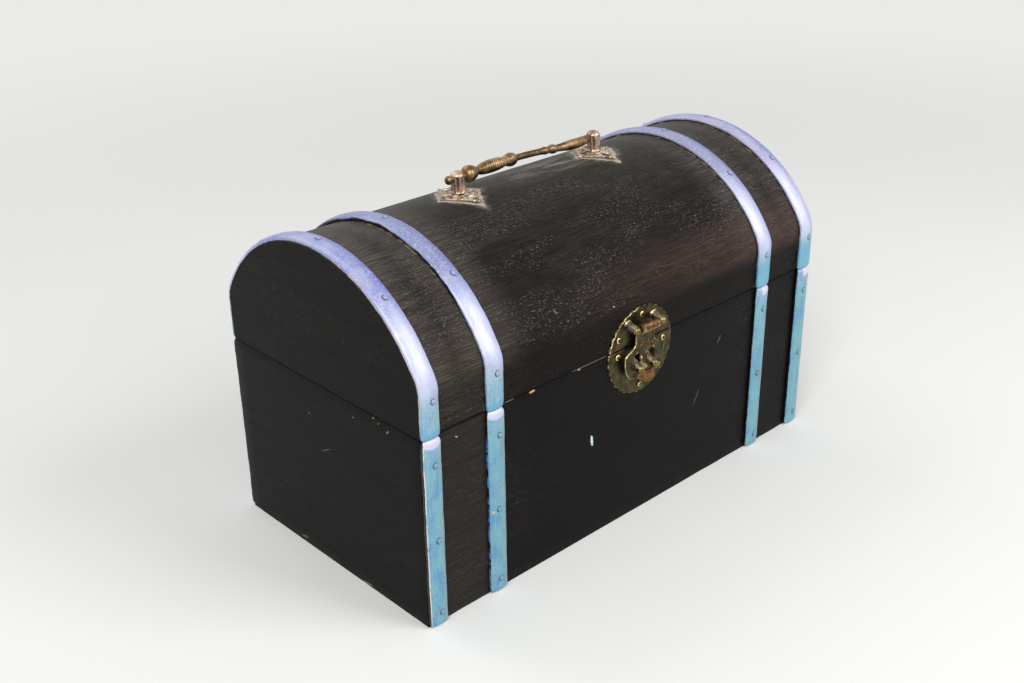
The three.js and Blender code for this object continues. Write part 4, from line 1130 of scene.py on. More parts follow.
class CHEST_OT_case(bpy.types.Operator):
    """Builds the case's boards"""
    bl_idname = "chest.case"
    bl_label = "Case"

    def execute(self, context):
        across = (0, 0, RIGHT_ANGLE)
        bare = bare_wood("bare_wood_inside")
        bare_across = bare_wood("bare_wood_ends", across)
        face = painted_wood("paint_front", grainy=0.55, rubbed=0.06, marks=FRONT_MARKS)
        ends = painted_wood("paint_ends", turn=across, grainy=0.25, rubbed=0.04, marks=END_MARKS)
        inner = HALF_LENGTH - END_THICKNESS
        for side, name in SIDES:
            near, far = sorted((side * HALF_LENGTH, side * inner))
            board = wooden_board(f"case_{name}_end", (near, -HALF_DEPTH, 0), (far, HALF_DEPTH, BODY_HEIGHT),
                                 [ends, bare_across], (-side, 0, 0), 0.5)
            dress(board, "chest_body", "painted_wood", f"body_{name}_end")
        for side, name in FACES:
            near, far = sorted((side * HALF_DEPTH, side * (HALF_DEPTH - WALL_THICKNESS)))
            board = wooden_board(f"case_{name}_panel", (-inner, near, 0), (inner, far, BODY_HEIGHT),
                                 [face, bare], (0, -side, 0))
            dress(board, "chest_body", "painted_wood", f"body_{name}_panel")
        depth = HALF_DEPTH - WALL_THICKNESS
        board = wooden_board("case_bottom", (-inner, -depth, 0), (inner, depth, BOTTOM_THICKNESS), [bare])
        dress(board, "chest_body", "bare_wood", "body_bottom_panel")
        return {"FINISHED"}


def is_inside_skin(point):
    """True where a point of the skin lies on its inner face."""
    y, z = abs(point.y), point.z
    if z < SHOULDER_HEIGHT:
        depth = HALF_DEPTH - y
    elif math.atan2(z - ARCH_CENTRE, y) > SHOULDER_ANGLE:
        depth = ARCH_RADIUS - math.hypot(y, z - ARCH_CENTRE)
    else:
        depth = SHOULDER_RADIUS - math.hypot(y - SHOULDER_CENTRE, z - SHOULDER_HEIGHT)
    return depth > SKIN_THICKNESS * 0.8


def lid_skin(bm):
    """The bent skin: sections along the chest, eased at both ends and closed there from outside to inside."""
    x = HALF_LENGTH
    stations = [(-x, SKIN_EASE), (-x + SKIN_EASE, 0.0), (-x + 0.5, 0.0)]
    stations += [(-x + SKIN_GRID * i, 0.0) for i in range(1, round(2 * x / SKIN_GRID))]
    stations += [(-place, inset) for place, inset in stations[2::-1]]
    rings = []
    for place, inset in stations:
        section = lid_outline(-inset) + lid_outline(-SKIN_THICKNESS)[::-1]
        rings.append([(place, y, max(z, LID_BASE + inset)) for y, z in section])
    loft(bm, rings, ends=None)
    for end in (-x, x):
        ring = [v for v in bm.verts if abs(v.co.x - end) < 1e-6]
        for i in range(len(ring) // 2 - 1):
            bm.faces.new((ring[i], ring[i + 1], ring[-2 - i], ring[-1 - i]))
    for face in bm.faces:
        middle = face.calc_center_median()
        if is_inside_skin(middle):
            face.material_index = 1
        elif abs(middle.x) > x - 0.02:
            face.material_index = 2


class CHEST_OT_lid(bpy.types.Operator):
    """Builds the lid's skin, ends and rails"""
    bl_idname = "chest.lid"
    bl_label = "Lid"

    def execute(self, context):
        across = (0, 0, RIGHT_ANGLE)
        bare = bare_wood("bare_wood_lid")
        bare_across = bare_wood("bare_wood_lid_ends", across)
        paint = painted_wood("paint_lid", dusty=0.9, halos=True, marks=LID_MARKS)
        ends = painted_wood("paint_lid_ends", turn=across, grainy=0.25)
        bm = bmesh.new()
        lid_skin(bm)
        dress(in_metres("lid_dome", bm, [paint, bare, ends]), "lid", "painted_wood", "lid_skin")
        inner = HALF_LENGTH - END_THICKNESS
        for side, name in SIDES:
            bm = bmesh.new()
            rings = []
            for place, inset in ((HALF_LENGTH, 0.02), (inner + 0.4, 0.02), (inner, 0.4)):
                outline = lid_outline(-SKIN_THICKNESS - inset)
                rings.append([(side * place, y, max(z, LID_BASE + inset)) for y, z in outline])
            for face in loft(bm, rings):
                face.material_index = int(abs(face.calc_center_median().x) < inner + 0.1)
            board = in_metres(f"lid_{name}_board", bm, [ends, bare_across])
            dress(board, "lid", "painted_wood", f"lid_{name}_end")
        outside = HALF_DEPTH - SKIN_THICKNESS
        for side, name in FACES:
            near, far = sorted((side * outside, side * (outside - RAIL_THICKNESS)))
            board = wooden_board(f"lid_{name}_batten", (-inner, near, LID_BASE),
                                 (inner, far, LID_BASE + RAIL_HEIGHT), [bare])
            dress(board, "lid", "bare_wood", f"lid_{name}_rail")
        return {"FINISHED"}


class CHEST_OT_bands(bpy.types.Operator):
    """Lays the half-round bands with their nails"""
    bl_idname = "chest.bands"
    bl_label = "Bands"

    def execute(self, context):
        tree = band_tree()
        paint = band_paint("band_paint")
        low, high = BODY_NAIL_HEIGHTS

        def lay(name, points, start, end, first, last, **values):
            """Grows one band; its eases, drops and nails are in millimetres."""
            return grow(name, path_object(points), tree, waviness=context.scene.chest_sizes.band_waviness,
                        start_ease=start[0] * MM, start_drop=start[1] * MM, end_ease=end[0] * MM,
                        end_drop=end[1] * MM, first_nail=first * MM, last_nail=last * MM, paint=paint,
                        **values)

        for i, x in enumerate(BAND_XS):
            # An outer band's flank lies flush with the chest's end and is painted black with it
            dark_side = math.copysign(1.0, x) if abs(x) == max(BAND_XS) else 0.0
            for side, name in FACES:
                points = [(x, side * HALF_DEPTH, BAND_LIFT), (x, side * HALF_DEPTH, BODY_HEIGHT)]
                first = low - BAND_LIFT if side < 0 else BODY_HEIGHT - high
                band = lay(f"{name}_band_{i + 1}", points[::-side], *(FOOT_EASE, SEAM_EASE)[::-side], first,
                           first + high - low, rows=214, seed=11.0 * i + 3.0 * side, dark_side=dark_side)
                dress(band, "chest_body", "band_paint", f"body_{name}_band_{i + 1}")
            points = [(x, y, z) for y, z in lid_outline(0, 240)]
            band = lay(f"dome_band_{i + 1}", points, LID_EASE, LID_EASE, LID_NAIL_START,
                       LID_LENGTH - LID_NAIL_START, rows=482, seed=11.0 * i + 57.0, lift=SEAT_GAP * MM,
                       nails=5, dark_side=dark_side)
            dress(band, "lid", "band_paint", f"lid_band_{i + 1}")
        return {"FINISHED"}


def place_nails(name, places, radius, material, seed, tree):
    """Nail heads at (point, direction) pairs in millimetres."""
    mesh = bpy.data.meshes.new("nail_places")
    mesh.from_pydata([[c * MM for c in point] for point, _ in places], [], [])
    facing = mesh.attributes.new("facing", "FLOAT_VECTOR", "POINT")
    facing.data.foreach_set("vector", [c for _, way in places for c in way])
    return grow(name, new_object("nail_places", mesh), tree, radius=radius * MM, seed=seed, metal=material)


def scalloped_plate(bm, keep_upper):
    """A round plate with a scalloped, raised rim, of which one side of the seam is kept."""
    steps = SCALLOPS * 8
    rings = []
    for shrink, out in PLATE_SECTION:
        ring = []
        for i in range(steps):
            angle = FULL_TURN * i / steps
            scallop = SCALLOP_DEPTH * (1 - abs(math.sin(angle * SCALLOPS / 2))) * max(0.0, 1 - shrink / 3)
            radius = PLATE_RADIUS - scallop - shrink
            ring.append(on_front(radius * math.cos(angle), PLATE_CENTRE + radius * math.sin(angle), out))
        rings.append(ring)
    loft(bm, rings)
    height = LID_BASE + SEAT_GAP if keep_upper else BODY_HEIGHT - SEAT_GAP
    cut = bmesh.ops.bisect_plane(
        bm, geom=bm.verts[:] + bm.edges[:] + bm.faces[:], dist=1e-5, plane_co=(0, 0, height),
        plane_no=(0, 0, -1 if keep_upper else 1), clear_outer=True)
    edges = [e for e in cut["geom_cut"] if isinstance(e, bmesh.types.BMEdge)]
    bmesh.ops.contextual_create(bm, geom=edges)


def hasp_outline():
    """The hasp's outline (x, z), down its left side from the axis and up its right."""
    shoulder = math.radians(8)
    floor = math.asin((HASP_BELLY_CENTRE - HASP_FLOOR) / HASP_BELLY)
    belly = arc((0, HASP_BELLY_CENTRE), HASP_BELLY, shoulder, -floor, 18)
    start, end = Vector((HASP_NECK, HASP_NECK_FOOT)), belly[0]
    first = start - Vector((0, HASP_SWELL))
    second = end + Vector((-math.sin(shoulder), math.cos(shoulder))) * HASP_SWELL
    right = [Vector((HASP_NECK, HASP_AXIS)).lerp(start, k / 6) for k in range(6)]
    for t in (k / 14 for k in range(15)):
        back = 1 - t
        right.append(start * back ** 3 + first * 3 * t * back ** 2 + second * 3 * t * t * back + end * t ** 3)
    right += belly[1:]
    return [Vector((-p.x, p.y)) for p in right] + right[::-1]


def rimmed_plate(bm, outline, layers, lay):
    """A plate with a rim: rings of an outline, each (inset, out), closed front and back."""
    rings = []
    for inset, out in layers:
        ring = []
        for i, point in enumerate(outline):
            along = (outline[(i + 1) % len(outline)] - outline[i - 1]).normalized()
            moved = point + Vector((-along.y, along.x)) * inset
            ring.append(lay(moved.x, moved.y, out))
        rings.append(ring)
    return loft(bm, rings, ends="flat")


def scroll(centre, size, turns, hand, start, steps=26):
    """A spiral of points (x, y) winding in towards a centre."""
    points = []
    for share in (k / steps for k in range(steps + 1)):
        angle = start + hand * turns * FULL_TURN * share
        radius = size * (1 - 0.82 * share)
        points.append((centre[0] + radius * math.cos(angle), centre[1] + radius * math.sin(angle)))
    return points


class CHEST_OT_latch(bpy.types.Operator):
    """Builds the latch's plates, nails, pin and hasp"""
    bl_idname = "chest.latch"
    bl_label = "Latch"

    def execute(self, context):
        brass = metal("latch_brass", (58, 52, 36), (96, 88, 60), (238, 218, 168), 0.4, 0.54)
        finishes = [brass,
                    metal("stud_brass", (104, 92, 76), (164, 148, 126), (246, 224, 176), 0.36, 0.55),
                    metal("cap_brass", (108, 94, 58), (144, 128, 86), (255, 240, 196), 0.26, 0.5)]
        copper = metal("hasp_copper", (76, 55, 37), (120, 87, 54), (204, 160, 112), 0.42, 0.35, 420.0)
        nail_brass = metal("nail_brass", (56, 44, 26), (100, 78, 46), (226, 196, 132), 0.3, 0.62)
        steel = metal("pin_steel", (90, 88, 84), (140, 138, 132), (200, 198, 190), 0.35)
        tree = nail_tree()

        bm = bmesh.new()
        scalloped_plate(bm, True)
        lugs(bm, EAR_X, EAR_BASE, HASP_AXIS, EAR_REACH, 0.5, EAR_REACH - 0.5)
        plate = in_metres("upper_latch_plate", bm, finishes)
        rim = [(p.x, p.z + PLATE_CENTRE)
               for p in circle(PLATE_RADIUS - 0.6, 0, 360, Matrix.Rotation(RIGHT_ANGLE, 4, "X"))]
        # A painted highlight along the plate's upper left rim
        rub_left_rim(plate.data, rim, -HALF_DEPTH - 0.8, 0.34)
        dress(plate, "lid", "antique_brass", "latch_upper_plate")

        bm = bmesh.new()
        scalloped_plate(bm, False)
        stud_tip = STUD_BASE - STUD_DROOP
        lugs(bm, STUD_X, STUD_BASE, stud_tip, STUD_REACH, 0.3, STUD_REACH + 0.2)
        plate = in_metres("lower_latch_plate", bm, finishes)
        hole = bmesh.new()
        tube(hole, [on_front(x, stud_tip, STUD_REACH) for x in (-12, 12)], [1.0, 1.0])
        cut_holes(plate, [hole])
        dress(plate, "chest_body", "antique_brass", "latch_lower_plate")

        turns = (math.radians(90 + turn) for turn in (0, -LATCH_NAIL_SPREAD, LATCH_NAIL_SPREAD, -180))
        circled = [(LATCH_NAIL_CIRCLE * math.cos(a), PLATE_CENTRE + LATCH_NAIL_CIRCLE * math.sin(a))
                   for a in turns]
        low = SEAM_HEIGHT - LOWER_NAIL_DROP
        lower = [circled[3], (-LOWER_NAIL_X, low), (LOWER_NAIL_X, low)]
        for name, body, spots in (("upper", "lid", circled[:3]), ("lower", "chest_body", lower)):
            places = [(on_front(x, z, PLATE_THICKNESS), (0, -1, 0)) for x, z in spots]
            piece = place_nails(f"{name}_latch_nails", places, LATCH_NAIL_RADIUS, nail_brass, 4, tree)
            dress(piece, body, "bright_brass", *[f"latch_{name}_nail_{k}" for k in (1, 2, 3)])

        bm = bmesh.new()
        reach = EAR_X + LUG_RADIUS
        turned(bm, [(0, -reach), (0.6, -reach), (PIN_RADIUS, -reach + 0.2), (PIN_RADIUS, reach - 0.2),
                    (0.6, reach), (0, reach)], lying(-HALF_DEPTH - EAR_REACH, HASP_AXIS), 20)
        dress(in_metres("hasp_axle", bm, [steel]), "lid", "steel", "latch_hasp_pin")
        self.hasp([brass, copper])
        return {"FINISHED"}

    def hasp(self, finishes):
        """The swinging hasp: a rimmed plate with two slots, a rolled barrel and a lift lip."""
        face = HASP_OUT + HASP_THICKNESS
        bm = bmesh.new()
        rimmed_plate(bm, hasp_outline(), [
            (0.25, HASP_OUT), (0.0, HASP_OUT + 0.2), (0.0, face - 0.25), (0.15, face - 0.05), (0.4, face),
            (0.75, face - 0.05), (0.95, face - 0.35)], on_front)
        plate = in_metres("hasp", bm, finishes)
        slots = []
        for side, _ in SIDES:
            half = LUG_RADIUS + SEAT_GAP
            outline = arc((side * STUD_X, SLOT_TOP), half, 0, math.pi, 12)
            outline += arc((side * STUD_X, SLOT_FOOT), half, math.pi, FULL_TURN, 12)
            slots.append(bmesh.new())
            loft(slots[-1], [[on_front(p.x, p.y, out) for p in outline] for out in (0.5, 7.0)])
        cut_holes(plate, slots)

        extra = bmesh.new()
        half = EAR_X - LUG_RADIUS - SEAT_GAP
        radius = HASP_BARREL
        rolled = [(0, -half), (radius - 0.5, -half), (radius, -half + 0.4), (radius, half - 0.4),
                  (radius - 0.5, half), (0, half)]
        copper = turned(extra, rolled, lying(-HALF_DEPTH - EAR_REACH, HASP_AXIS), 32)
        web = [(-half, face), (half, face), (half, EAR_REACH + 1.2), (-half, EAR_REACH + 1.2)]
        copper += loft(extra, [[on_front(x, z, out) for x, out in web]
                               for z in (HASP_AXIS - radius + 0.1, HASP_AXIS - 0.4)])
        lip_place = Matrix.Translation(on_front(0, HASP_FLOOR + 0.6, HASP_OUT))
        lip_turn = lip_place @ Matrix.Rotation(LIP_LEAN, 4, "X")
        oval = arc((0, 0), 7.0, math.pi, FULL_TURN, 32, 6.0)
        copper += rimmed_plate(extra, oval, LIP_LAYERS, lambda x, y, out: lip_turn @ Vector((x, y, out)))
        for side, _ in SIDES:
            for points in (scroll((side * 2.6, 104.6), 1.9, 1.2, side, RIGHT_ANGLE),
                           scroll((side * 6.6, 103.4), 1.5, 1.1, -side, -RIGHT_ANGLE)):
                path = [on_front(x, z, face - 0.3) for x, z in points]
                copper += tube(extra, path, [0.34] * len(path), 8)
        for element in copper:
            element.material_index = 1
        join_piece(plate, in_metres("hasp_parts", extra, finishes))
        # A painted highlight along the hasp's left rim
        rub_left_rim(plate.data, hasp_outline(), -HALF_DEPTH - face + 0.3)
        dress(plate, "hasp", "worn_copper", "latch_hasp")


def smooth_profile(points, per_span=8):
    """A smooth curve through (radius, distance) pairs."""
    made = []
    for i in range(len(points) - 1):
        p0, p1, p2, p3 = (points[max(0, min(len(points) - 1, i + k))] for k in (-1, 0, 1, 2))
        for t in (k / per_span for k in range(per_span)):
            made.append(tuple(
                0.5 * (2 * b + (c - a) * t + (2 * a - 5 * b + 4 * c - d) * t * t
                       + (3 * b - a - 3 * c + d) * t ** 3)
                for a, b, c, d in zip(p0, p1, p2, p3)))
    return made + [points[-1]]


def rosette_field(x, y):
    """How deep inside the rosette's metal each point lies, in millimetres; negative in its openings."""
    def strip(points, half):
        best = np.full(x.shape, 1e9)
        for (ax, ay), (bx, by) in zip(points, points[1:]):
            dx, dy = bx - ax, by - ay
            t = np.clip(((x - ax) * dx + (y - ay) * dy) / (dx * dx + dy * dy + 1e-12), 0, 1)
            best = np.minimum(best, np.hypot(x - ax - t * dx, y - ay - t * dy))
        return half - best

    width, depth = 13.0, 18.0
    edge = (1 - np.abs(x) / width - np.abs(y) / depth) * width * depth / math.hypot(width, depth)
    inside = edge + 0.3 * np.cos((y / depth - x / width) * math.pi * 3)
    parts = [np.minimum(inside, 1.7 - inside), 5.6 - np.hypot(x, y)]
    for sx, sy in ((1, 1), (-1, 1), (-1, -1), (1, -1)):
        parts += [strip(scroll((sx * 6.6, sy * 4.3), 2.6, 1.15, sx * sy, math.pi * (sx < 0)), 0.55),
                  strip(scroll((sx * 3.2, sy * 9.6), 2.3, 1.15, -sx * sy, RIGHT_ANGLE * sy), 0.5),
                  strip([(sx * 3.4, sy * 3.4), (sx * 6.2, sy * 8.2)], 0.6)]
    for s in (-1, 1):
        parts += [2.3 - np.hypot(x, y - s * ROSETTE_NAIL_Y / ROSETTE_SHARE),
                  strip([(0, s * 5), (0, s * 17.2)], 0.7), 1.35 - np.hypot(x, y - s * 17.4),
                  0.9 - np.hypot(np.abs(x) - 2.0, y - s * 15.6),
                  strip([(s * 5, 0), (s * 12.4, 0)], 0.7), 1.3 - np.hypot(x - s * 12.4, y),
                  0.9 - np.hypot(x - s * 10.6, np.abs(y) - 1.9)]
    return np.maximum.reduce(parts)


def rosette_lift(y):
    """How far a rosette, flatter than the dome, stands off it at a distance from its middle."""
    return 0.6 * y * y / (2 * ARCH_RADIUS)


def rosette_mesh(bm, post_x, own):
    """A pierced plate: the cells where the field is positive, cut to its zero line, bent to the dome."""
    nx, ny = (round(span / ROSETTE_CELL) for span in ROSETTE_SPAN)
    xs = (np.arange(nx + 1) - nx / 2) * ROSETTE_CELL
    ys = (np.arange(ny + 1) - ny / 2) * ROSETTE_CELL
    grid_x, grid_y = np.meshgrid(xs, ys, indexing="ij")
    field = rosette_field(grid_x / ROSETTE_SHARE, grid_y / ROSETTE_SHARE) * ROSETTE_SHARE
    field[(field > -0.02) & (field <= 0)] = -0.02
    tops, bottoms = {}, {}

    def vertex(key, x, y, depth):
        if key not in tops:
            thick = 0.45 + 0.75 * math.sqrt(min(max(depth, 0.0), 0.8) / 0.8)
            for made, height in ((tops, ROSETTE_SEAT + thick), (bottoms, ROSETTE_SEAT)):
                angle = y / ARCH_RADIUS
                radius = ARCH_RADIUS + height + rosette_lift(y)
                bent = Vector((post_x + x, radius * math.sin(angle), radius * math.cos(angle) - ARCH_RADIUS))
                made[key] = bm.verts.new(own @ bent)
        return key

    for i in range(nx):
        for j in range(ny):
            corners = [(i, j), (i + 1, j), (i + 1, j + 1), (i, j + 1)]
            ring = []
            for a, b in zip(corners, corners[1:] + corners[:1]):
                va, vb = field[a], field[b]
                if va > 0:
                    ring.append((vertex(a, xs[a[0]], ys[a[1]], va), False))
                if (va > 0) != (vb > 0):
                    t = va / (va - vb)
                    x = xs[a[0]] + (xs[b[0]] - xs[a[0]]) * t
                    y = ys[a[1]] + (ys[b[1]] - ys[a[1]]) * t
                    ring.append((vertex(tuple(sorted((a, b))), x, y, 0.0), True))
            if len(ring) < 3:
                continue
            bm.faces.new([tops[key] for key, _ in ring])
            bm.faces.new([bottoms[key] for key, _ in reversed(ring)])
            for (a, a_cut), (b, b_cut) in zip(ring, ring[1:] + ring[:1]):
                if a_cut and b_cut:
                    bm.faces.new((tops[b], tops[a], bottoms[a], bottoms[b]))


class CHEST_OT_handle(bpy.types.Operator):
    """Builds the rosettes, the posts and the bail"""
    bl_idname = "chest.handle"
    bl_label = "Handle"

    def execute(self, context):
        bronze = metal("handle_bronze", (88, 69, 50), (166, 137, 104), (252, 228, 194), 0.34, 0.45, 160.0)
        post_bronze = metal("post_bronze", (140, 118, 100), (210, 186, 164), (254, 240, 220), 0.34, 0.56,
                            160.0, 0.1)
        gilt = metal("rosette_brass", (66, 52, 40), (164, 142, 114), (255, 234, 190), 0.34, 0.47, dusty=0.7)
        steel = metal("washer_steel", (100, 98, 94), (150, 148, 142), (205, 202, 196), 0.38)
        own = handle_matrix()
        tree = turned_tree()
        sizes = context.scene.chest_sizes
        crown_base = POST_FOOT + POST_HEIGHT - POST_CROWN
        head = -SKIN_THICKNESS - 3 * SEAT_GAP - 0.8
        profile = [(head - 1.2, 0), (head - 1.15, 1.4), (head - 0.8, 2.4), (head - 0.2, 3), (head, 3),
                   (head, 1.8), (POST_FOOT, 1.8), (POST_FOOT, 4.1), (POST_FOOT + 0.3, 4.15),
                   (POST_FOOT + 0.6, POST_RADIUS)]
        profile += [tuple(p) for p in arc((crown_base, 0), POST_CROWN, RIGHT_ANGLE, 0, 12, POST_RADIUS)]
        places = []
        for side, name in SIDES:
            path = path_object([(height, radius, 0) for height, radius in profile])
            post = grow(f"{name}_post", path, tree, rows=260, flutes=sizes.flutes, depth=sizes.flute_depth,
                        sharpness=2.5, first=(POST_FOOT + 0.6) * MM, last=(crown_base + 0.6) * MM,
                        metal=post_bronze)
            stand = own @ Matrix.Translation((side * POST_X, 0, 0))
            lay_mesh(post, stand @ Matrix.Rotation(-RIGHT_ANGLE, 4, "Y"))
            dress(post, "lid", "antique_brass", f"handle_{name}_post")
            bm = bmesh.new()
            rosette_mesh(bm, side * POST_X, own)
            plate = in_metres(f"{name}_rosette", bm, [gilt], sharp=50)
            dress(plate, "lid", "bright_brass", f"handle_{name}_rosette")
            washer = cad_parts[f"handle_{name}_washer"].data.materials
            washer.clear()
            washer.append(steel)
            for y in (-ROSETTE_NAIL_Y, ROSETTE_NAIL_Y):
                out = Vector((0, math.sin(y / ARCH_RADIUS), math.cos(y / ARCH_RADIUS)))
                point = out * (ARCH_RADIUS + 1.5 + rosette_lift(y)) + Vector((side * POST_X, 0, -ARCH_RADIUS))
                places.append((own @ point, own.to_3x3() @ out))
        nails = place_nails("rosette_nails", places, NAIL_RADIUS, gilt, 7, nail_tree())
        dress(nails, "lid", "bright_brass", *[f"handle_rosette_nail_{k}" for k in (1, 2, 3, 4)])
        self.bail(tree, bronze, own, sizes.rib_pitch)
        return {"FINISHED"}

    def bail(self, tree, bronze, own, rib_pitch):
        """The turned bail: a knob outside the left post, barrels, balls, necks and a smooth rod."""
        face = POST_X - POST_RADIUS - SEAT_GAP
        outside = -POST_X - POST_RADIUS - SEAT_GAP
        knob = arc((outside - 1.9, 0), 1.9, math.pi, 0, 12, 2.4)
        knob[0].y = 0
        profile = [tuple(p) for p in knob if p.x < outside - 0.4]
        profile += [(outside, JOURNAL_RADIUS), (-face, JOURNAL_RADIUS)]
        profile += [(distance - face, radius) for radius, distance in smooth_profile(BAIL_TURNING)]
        profile += [(face - 1.6, 2.4), (face - 0.8, 2.2), (face, JOURNAL_RADIUS),
                    (POST_X + POST_RADIUS, JOURNAL_RADIUS), (POST_X + POST_RADIUS, 0)]
        bar = grow("bail", path_object([(x, radius, 0) for x, radius in profile]), tree, rows=700, flutes=2,
                   depth=RIB_DEPTH * MM, sharpness=1.5, twist=FULL_TURN / (rib_pitch + 1e-9),
                   first=(BAIL_BARREL[0] - face) * MM, last=(BAIL_BARREL[1] - face) * MM, metal=bronze)
        for vertex in bar.data.vertices:
            share = min(abs(vertex.co.x) / (face * MM), 1)
            bow = BAIL_BOW * MM * math.cos(share * RIGHT_ANGLE) ** 2
            vertex.co.y += bow * math.sin(BAIL_LEAN)
            sag = (vertex.co.x / face * BAIL_SAG + BAIL_DROP * MM) * (1 - share ** 4)
            vertex.co.z += bow * math.cos(BAIL_LEAN) - sag
        lay_mesh(bar, own @ Matrix.Translation((0, 0, PIVOT_HEIGHT)))
        dress(bar, "handle", "antique_brass", "handle_bail")


def hinge_leaf(bm, x, side, knuckles):
    """A leaf with rounded corners, its knuckles and the webs that carry them."""
    half = LEAF_WIDTH / 2
    start = SEAM_HEIGHT + side * LEAF_GAP
    outline = [Vector((x - half, start)), Vector((x + half, start))]
    for corner, first in ((1, 0), (-1, RIGHT_ANGLE)):
        centre = (x + corner * (half - LEAF_CORNER), SEAM_HEIGHT + side * (LEAF_HEIGHT - LEAF_CORNER))
        outline += arc(centre, LEAF_CORNER, first, first + RIGHT_ANGLE, 6, side * LEAF_CORNER)
    rimmed_plate(bm, outline[::side], LEAF_LAYERS, on_back)
    rim = KNUCKLE_RADIUS - 0.2
    near, far = sorted((SEAM_HEIGHT + side * KNUCKLE_RADIUS, SEAM_HEIGHT + side * WEB_FOOT))
    for low, high in knuckles:
        turned(bm, [(0, low), (rim, low), (KNUCKLE_RADIUS, low + 0.2), (KNUCKLE_RADIUS, high - 0.2),
                    (rim, high), (0, high)], lying(HINGE_AXIS_Y, SEAM_HEIGHT, x), 28)
        section = [(HALF_DEPTH, near), (HINGE_AXIS_Y, near), (HINGE_AXIS_Y, far), (HALF_DEPTH, far)]
        loft(bm, [[(x + place, y, z) for y, z in section] for place in (low, high)])


class CHEST_OT_hinges(bpy.types.Operator):
    """Builds the two back hinges"""
    bl_idname = "chest.hinges"
    bl_label = "Hinges"

    def execute(self, context):
        brass = metal("hinge_brass", (72, 58, 30), (116, 94, 50), (210, 176, 104), 0.38)
        steel = metal("hinge_pin_steel", (90, 88, 84), (140, 138, 132), (200, 198, 190), 0.35)
        half = LEAF_WIDTH / 2
        knuckle = (LEAF_WIDTH - 0.6) / 3
        outer = [(-half, -half + knuckle), (half - knuckle, half)]
        parts = ((-1, "body", "chest_body", outer), (1, "lid", "lid", [(-knuckle / 2, knuckle / 2)]))
        end = half + 0.3
        rod = [(0, -end - 0.7), (1.1, -end - 0.62), (1.5, -end - 0.3), (1.5, -end), (0.8, -end)]
        rod += [(radius, -height) for radius, height in rod[::-1]]
        heads = {"body": [], "lid": []}
        for x, (_, name) in zip(HINGE_XS, SIDES):
            for side, part, body, knuckles in parts:
                bm = bmesh.new()
                hinge_leaf(bm, x, side, knuckles)
                leaf = in_metres(f"{name}_hinge_{part}_leaf", bm, [brass])
                dress(leaf, body, "antique_brass", f"hinge_{name}_{part}_leaf")
                height = SEAM_HEIGHT + side * (LEAF_HEIGHT - LEAF_NAIL_DROP)
                heads[part] += [(on_back(x + reach, height, LEAF_THICKNESS), (0, 1, 0))
                                for reach in (-LEAF_NAIL_X, LEAF_NAIL_X)]
            bm = bmesh.new()
            turned(bm, rod, lying(HINGE_AXIS_Y, SEAM_HEIGHT, x), 24)
            dress(in_metres(f"{name}_hinge_rod", bm, [steel]), "chest_body", "steel", f"hinge_{name}_pin")
        tree = nail_tree()
        for _, part, body, _ in parts:
            piece = place_nails(f"hinge_{part}_nails", heads[part], NAIL_RADIUS, brass, 9, tree)
            dress(piece, body, "bright_brass", *[f"hinge_{part}_nail_{k}" for k in (1, 2, 3, 4)])
        return {"FINISHED"}


# Stage

BACKDROP = linear(234, 234, 231)
FLOOR_FADE = (0.4, 1.3)
LAMPS = (
    ("right_light", (0.55, -1.15, 1.1), 0.8, 0.68),
    ("left_light", (-1.1, -0.8, 1.3), 0.8, 1.0),
    ("back_light", (-0.3, 1.5, 1.6), 1.2, 0.5))
LAMP_TARGET = (0, 0, 0.1)
CAMERA_ANGLES = (-42.96, 25.69, -0.86)
CAMERA_PLACE = (-462.4, -475.2, 397.7)
SENSOR_WIDTH = 36
CAMERA_REACH = 50
ROOM_COLOUR = (0.82, 0.83, 0.85, 1)


def show_backdrop(tree, output, lit, backdrop, share=1.0):
    """Shows the backdrop where the camera, a reflection or clear glass meets what is lit."""
    n = Nodes(tree)
    ray = n.node("ShaderNodeLightPath").outputs
    seen = n.math("MAXIMUM", ray["Is Glossy Ray"], ray["Is Transmission Ray"])
    seen = n.math("MAXIMUM", ray["Is Camera Ray"], seen)
    n.feed(tree.nodes[output].inputs["Surface"], n.add("ShaderNodeMixShader", seen * share, lit, backdrop))


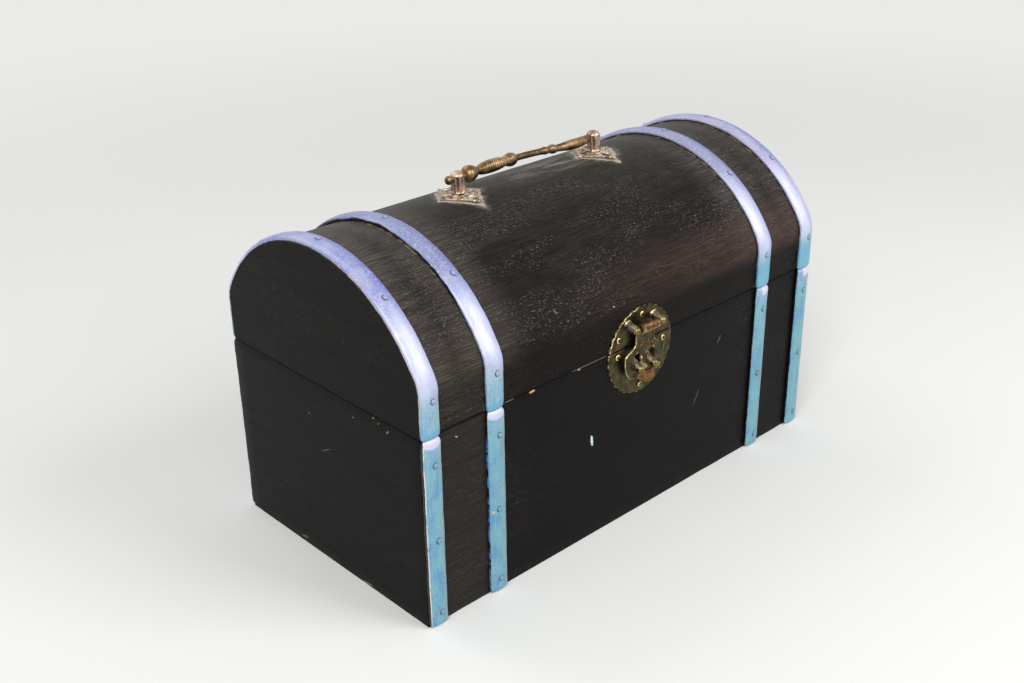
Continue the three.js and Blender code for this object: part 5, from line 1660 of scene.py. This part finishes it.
class CHEST_OT_stage(bpy.types.Operator):
    """Lays the floor and sets the lights and the camera"""
    bl_idname = "chest.stage"
    bl_label = "Stage"

    def execute(self, context):
        scene = context.scene
        stage = scene.chest_stage
        material, n, place = new_material("pale_floor")
        n.surface({"Base Color": n.mix(n.noise(place, 3.0, 2.0), (226, 226, 222), (232, 232, 229)),
                   "Roughness": 0.9})
        away = n.vector("LENGTH", place, out=1).ramp(*FLOOR_FADE)
        show_backdrop(n.tree, "Material Output", n.tree.nodes["Principled BSDF"].outputs[0],
                      n.add("ShaderNodeEmission", Color=BACKDROP), away)
        half = stage.floor_size / 2
        mesh = bpy.data.meshes.new("floor")
        corners = [(-half, -half, 0), (half, -half, 0), (half, half, 0), (-half, half, 0)]
        mesh.from_pydata(corners, [], [(0, 1, 2, 3)])
        mesh.materials.append(material)
        new_object("floor", mesh)

        for name, spot, size, share in LAMPS:
            light = bpy.data.lights.new(name, "AREA")
            light.shape = "SQUARE"
            light.size = size
            light.energy = stage.key_power * share
            lamp = new_object(name, light)
            lamp.location = spot
            lamp.rotation_euler = (Vector(LAMP_TARGET) - Vector(spot)).to_track_quat("-Z", "Y").to_euler()
        world = bpy.data.worlds.new("studio")
        world.use_nodes = True
        light = world.node_tree.nodes["Background"]
        light.inputs["Color"].default_value = ROOM_COLOUR
        light.inputs["Strength"].default_value = stage.world_strength
        n = Nodes(world.node_tree)
        show_backdrop(n.tree, "World Output", light.outputs[0], n.add("ShaderNodeBackground", BACKDROP))
        scene.world = world
        scene.view_settings.view_transform = "Standard"
        self.place_camera(scene, stage.lens)
        return {"FINISHED"}

    def place_camera(self, scene, lens):
        """Stands the camera where the photograph was taken from."""
        azimuth, elevation, roll = (math.radians(a) for a in CAMERA_ANGLES)
        level = math.cos(elevation)
        back = Vector((math.sin(azimuth) * level, -math.cos(azimuth) * level, math.sin(elevation)))
        right = Vector((0, 0, 1)).cross(back).normalized()
        up = back.cross(right)
        camera = bpy.data.cameras.new("camera")
        camera.lens = lens
        camera.sensor_width = SENSOR_WIDTH
        camera.clip_end = CAMERA_REACH
        turn = Matrix((right, up, back)).transposed().to_4x4() @ Matrix.Rotation(roll, 4, "Z")
        stand = new_object("camera", camera)
        stand.matrix_world = Matrix.Translation(Vector(CAMERA_PLACE) * MM) @ turn
        scene.camera = stand


SETTINGS = (("chest_finish", ChestFinish), ("chest_sizes", ChestSizes), ("chest_stage", ChestStage))
STEPS = ("stage", "case", "lid", "bands", "latch", "handle", "hinges")


class CHEST_PT_panel(bpy.types.Panel):
    """Lists the chest's settings and pieces"""
    bl_label = "Domed storage chest"
    bl_idname = "CHEST_PT_panel"
    bl_space_type = "VIEW_3D"
    bl_region_type = "UI"
    bl_category = "Chest"

    def draw(self, context):
        for name, made in SETTINGS:
            for setting in made.__annotations__:
                self.layout.prop(getattr(context.scene, name), setting)
        for step in STEPS:
            self.layout.operator(f"chest.{step}")


CLASSES = (ChestFinish, ChestSizes, ChestStage, CHEST_OT_case, CHEST_OT_lid, CHEST_OT_bands, CHEST_OT_latch,
           CHEST_OT_handle, CHEST_OT_hinges, CHEST_OT_stage, CHEST_PT_panel)


def register():
    for made in CLASSES:
        bpy.utils.register_class(made)
    for name, made in SETTINGS:
        setattr(bpy.types.Scene, name, PointerProperty(type=made))


def unregister():
    for name, _ in SETTINGS:
        delattr(bpy.types.Scene, name)
    for made in reversed(CLASSES):
        bpy.utils.unregister_class(made)


def main():
    register()
    for step in STEPS:
        getattr(bpy.ops.chest, step)()


if __name__ == "__main__":
    main()
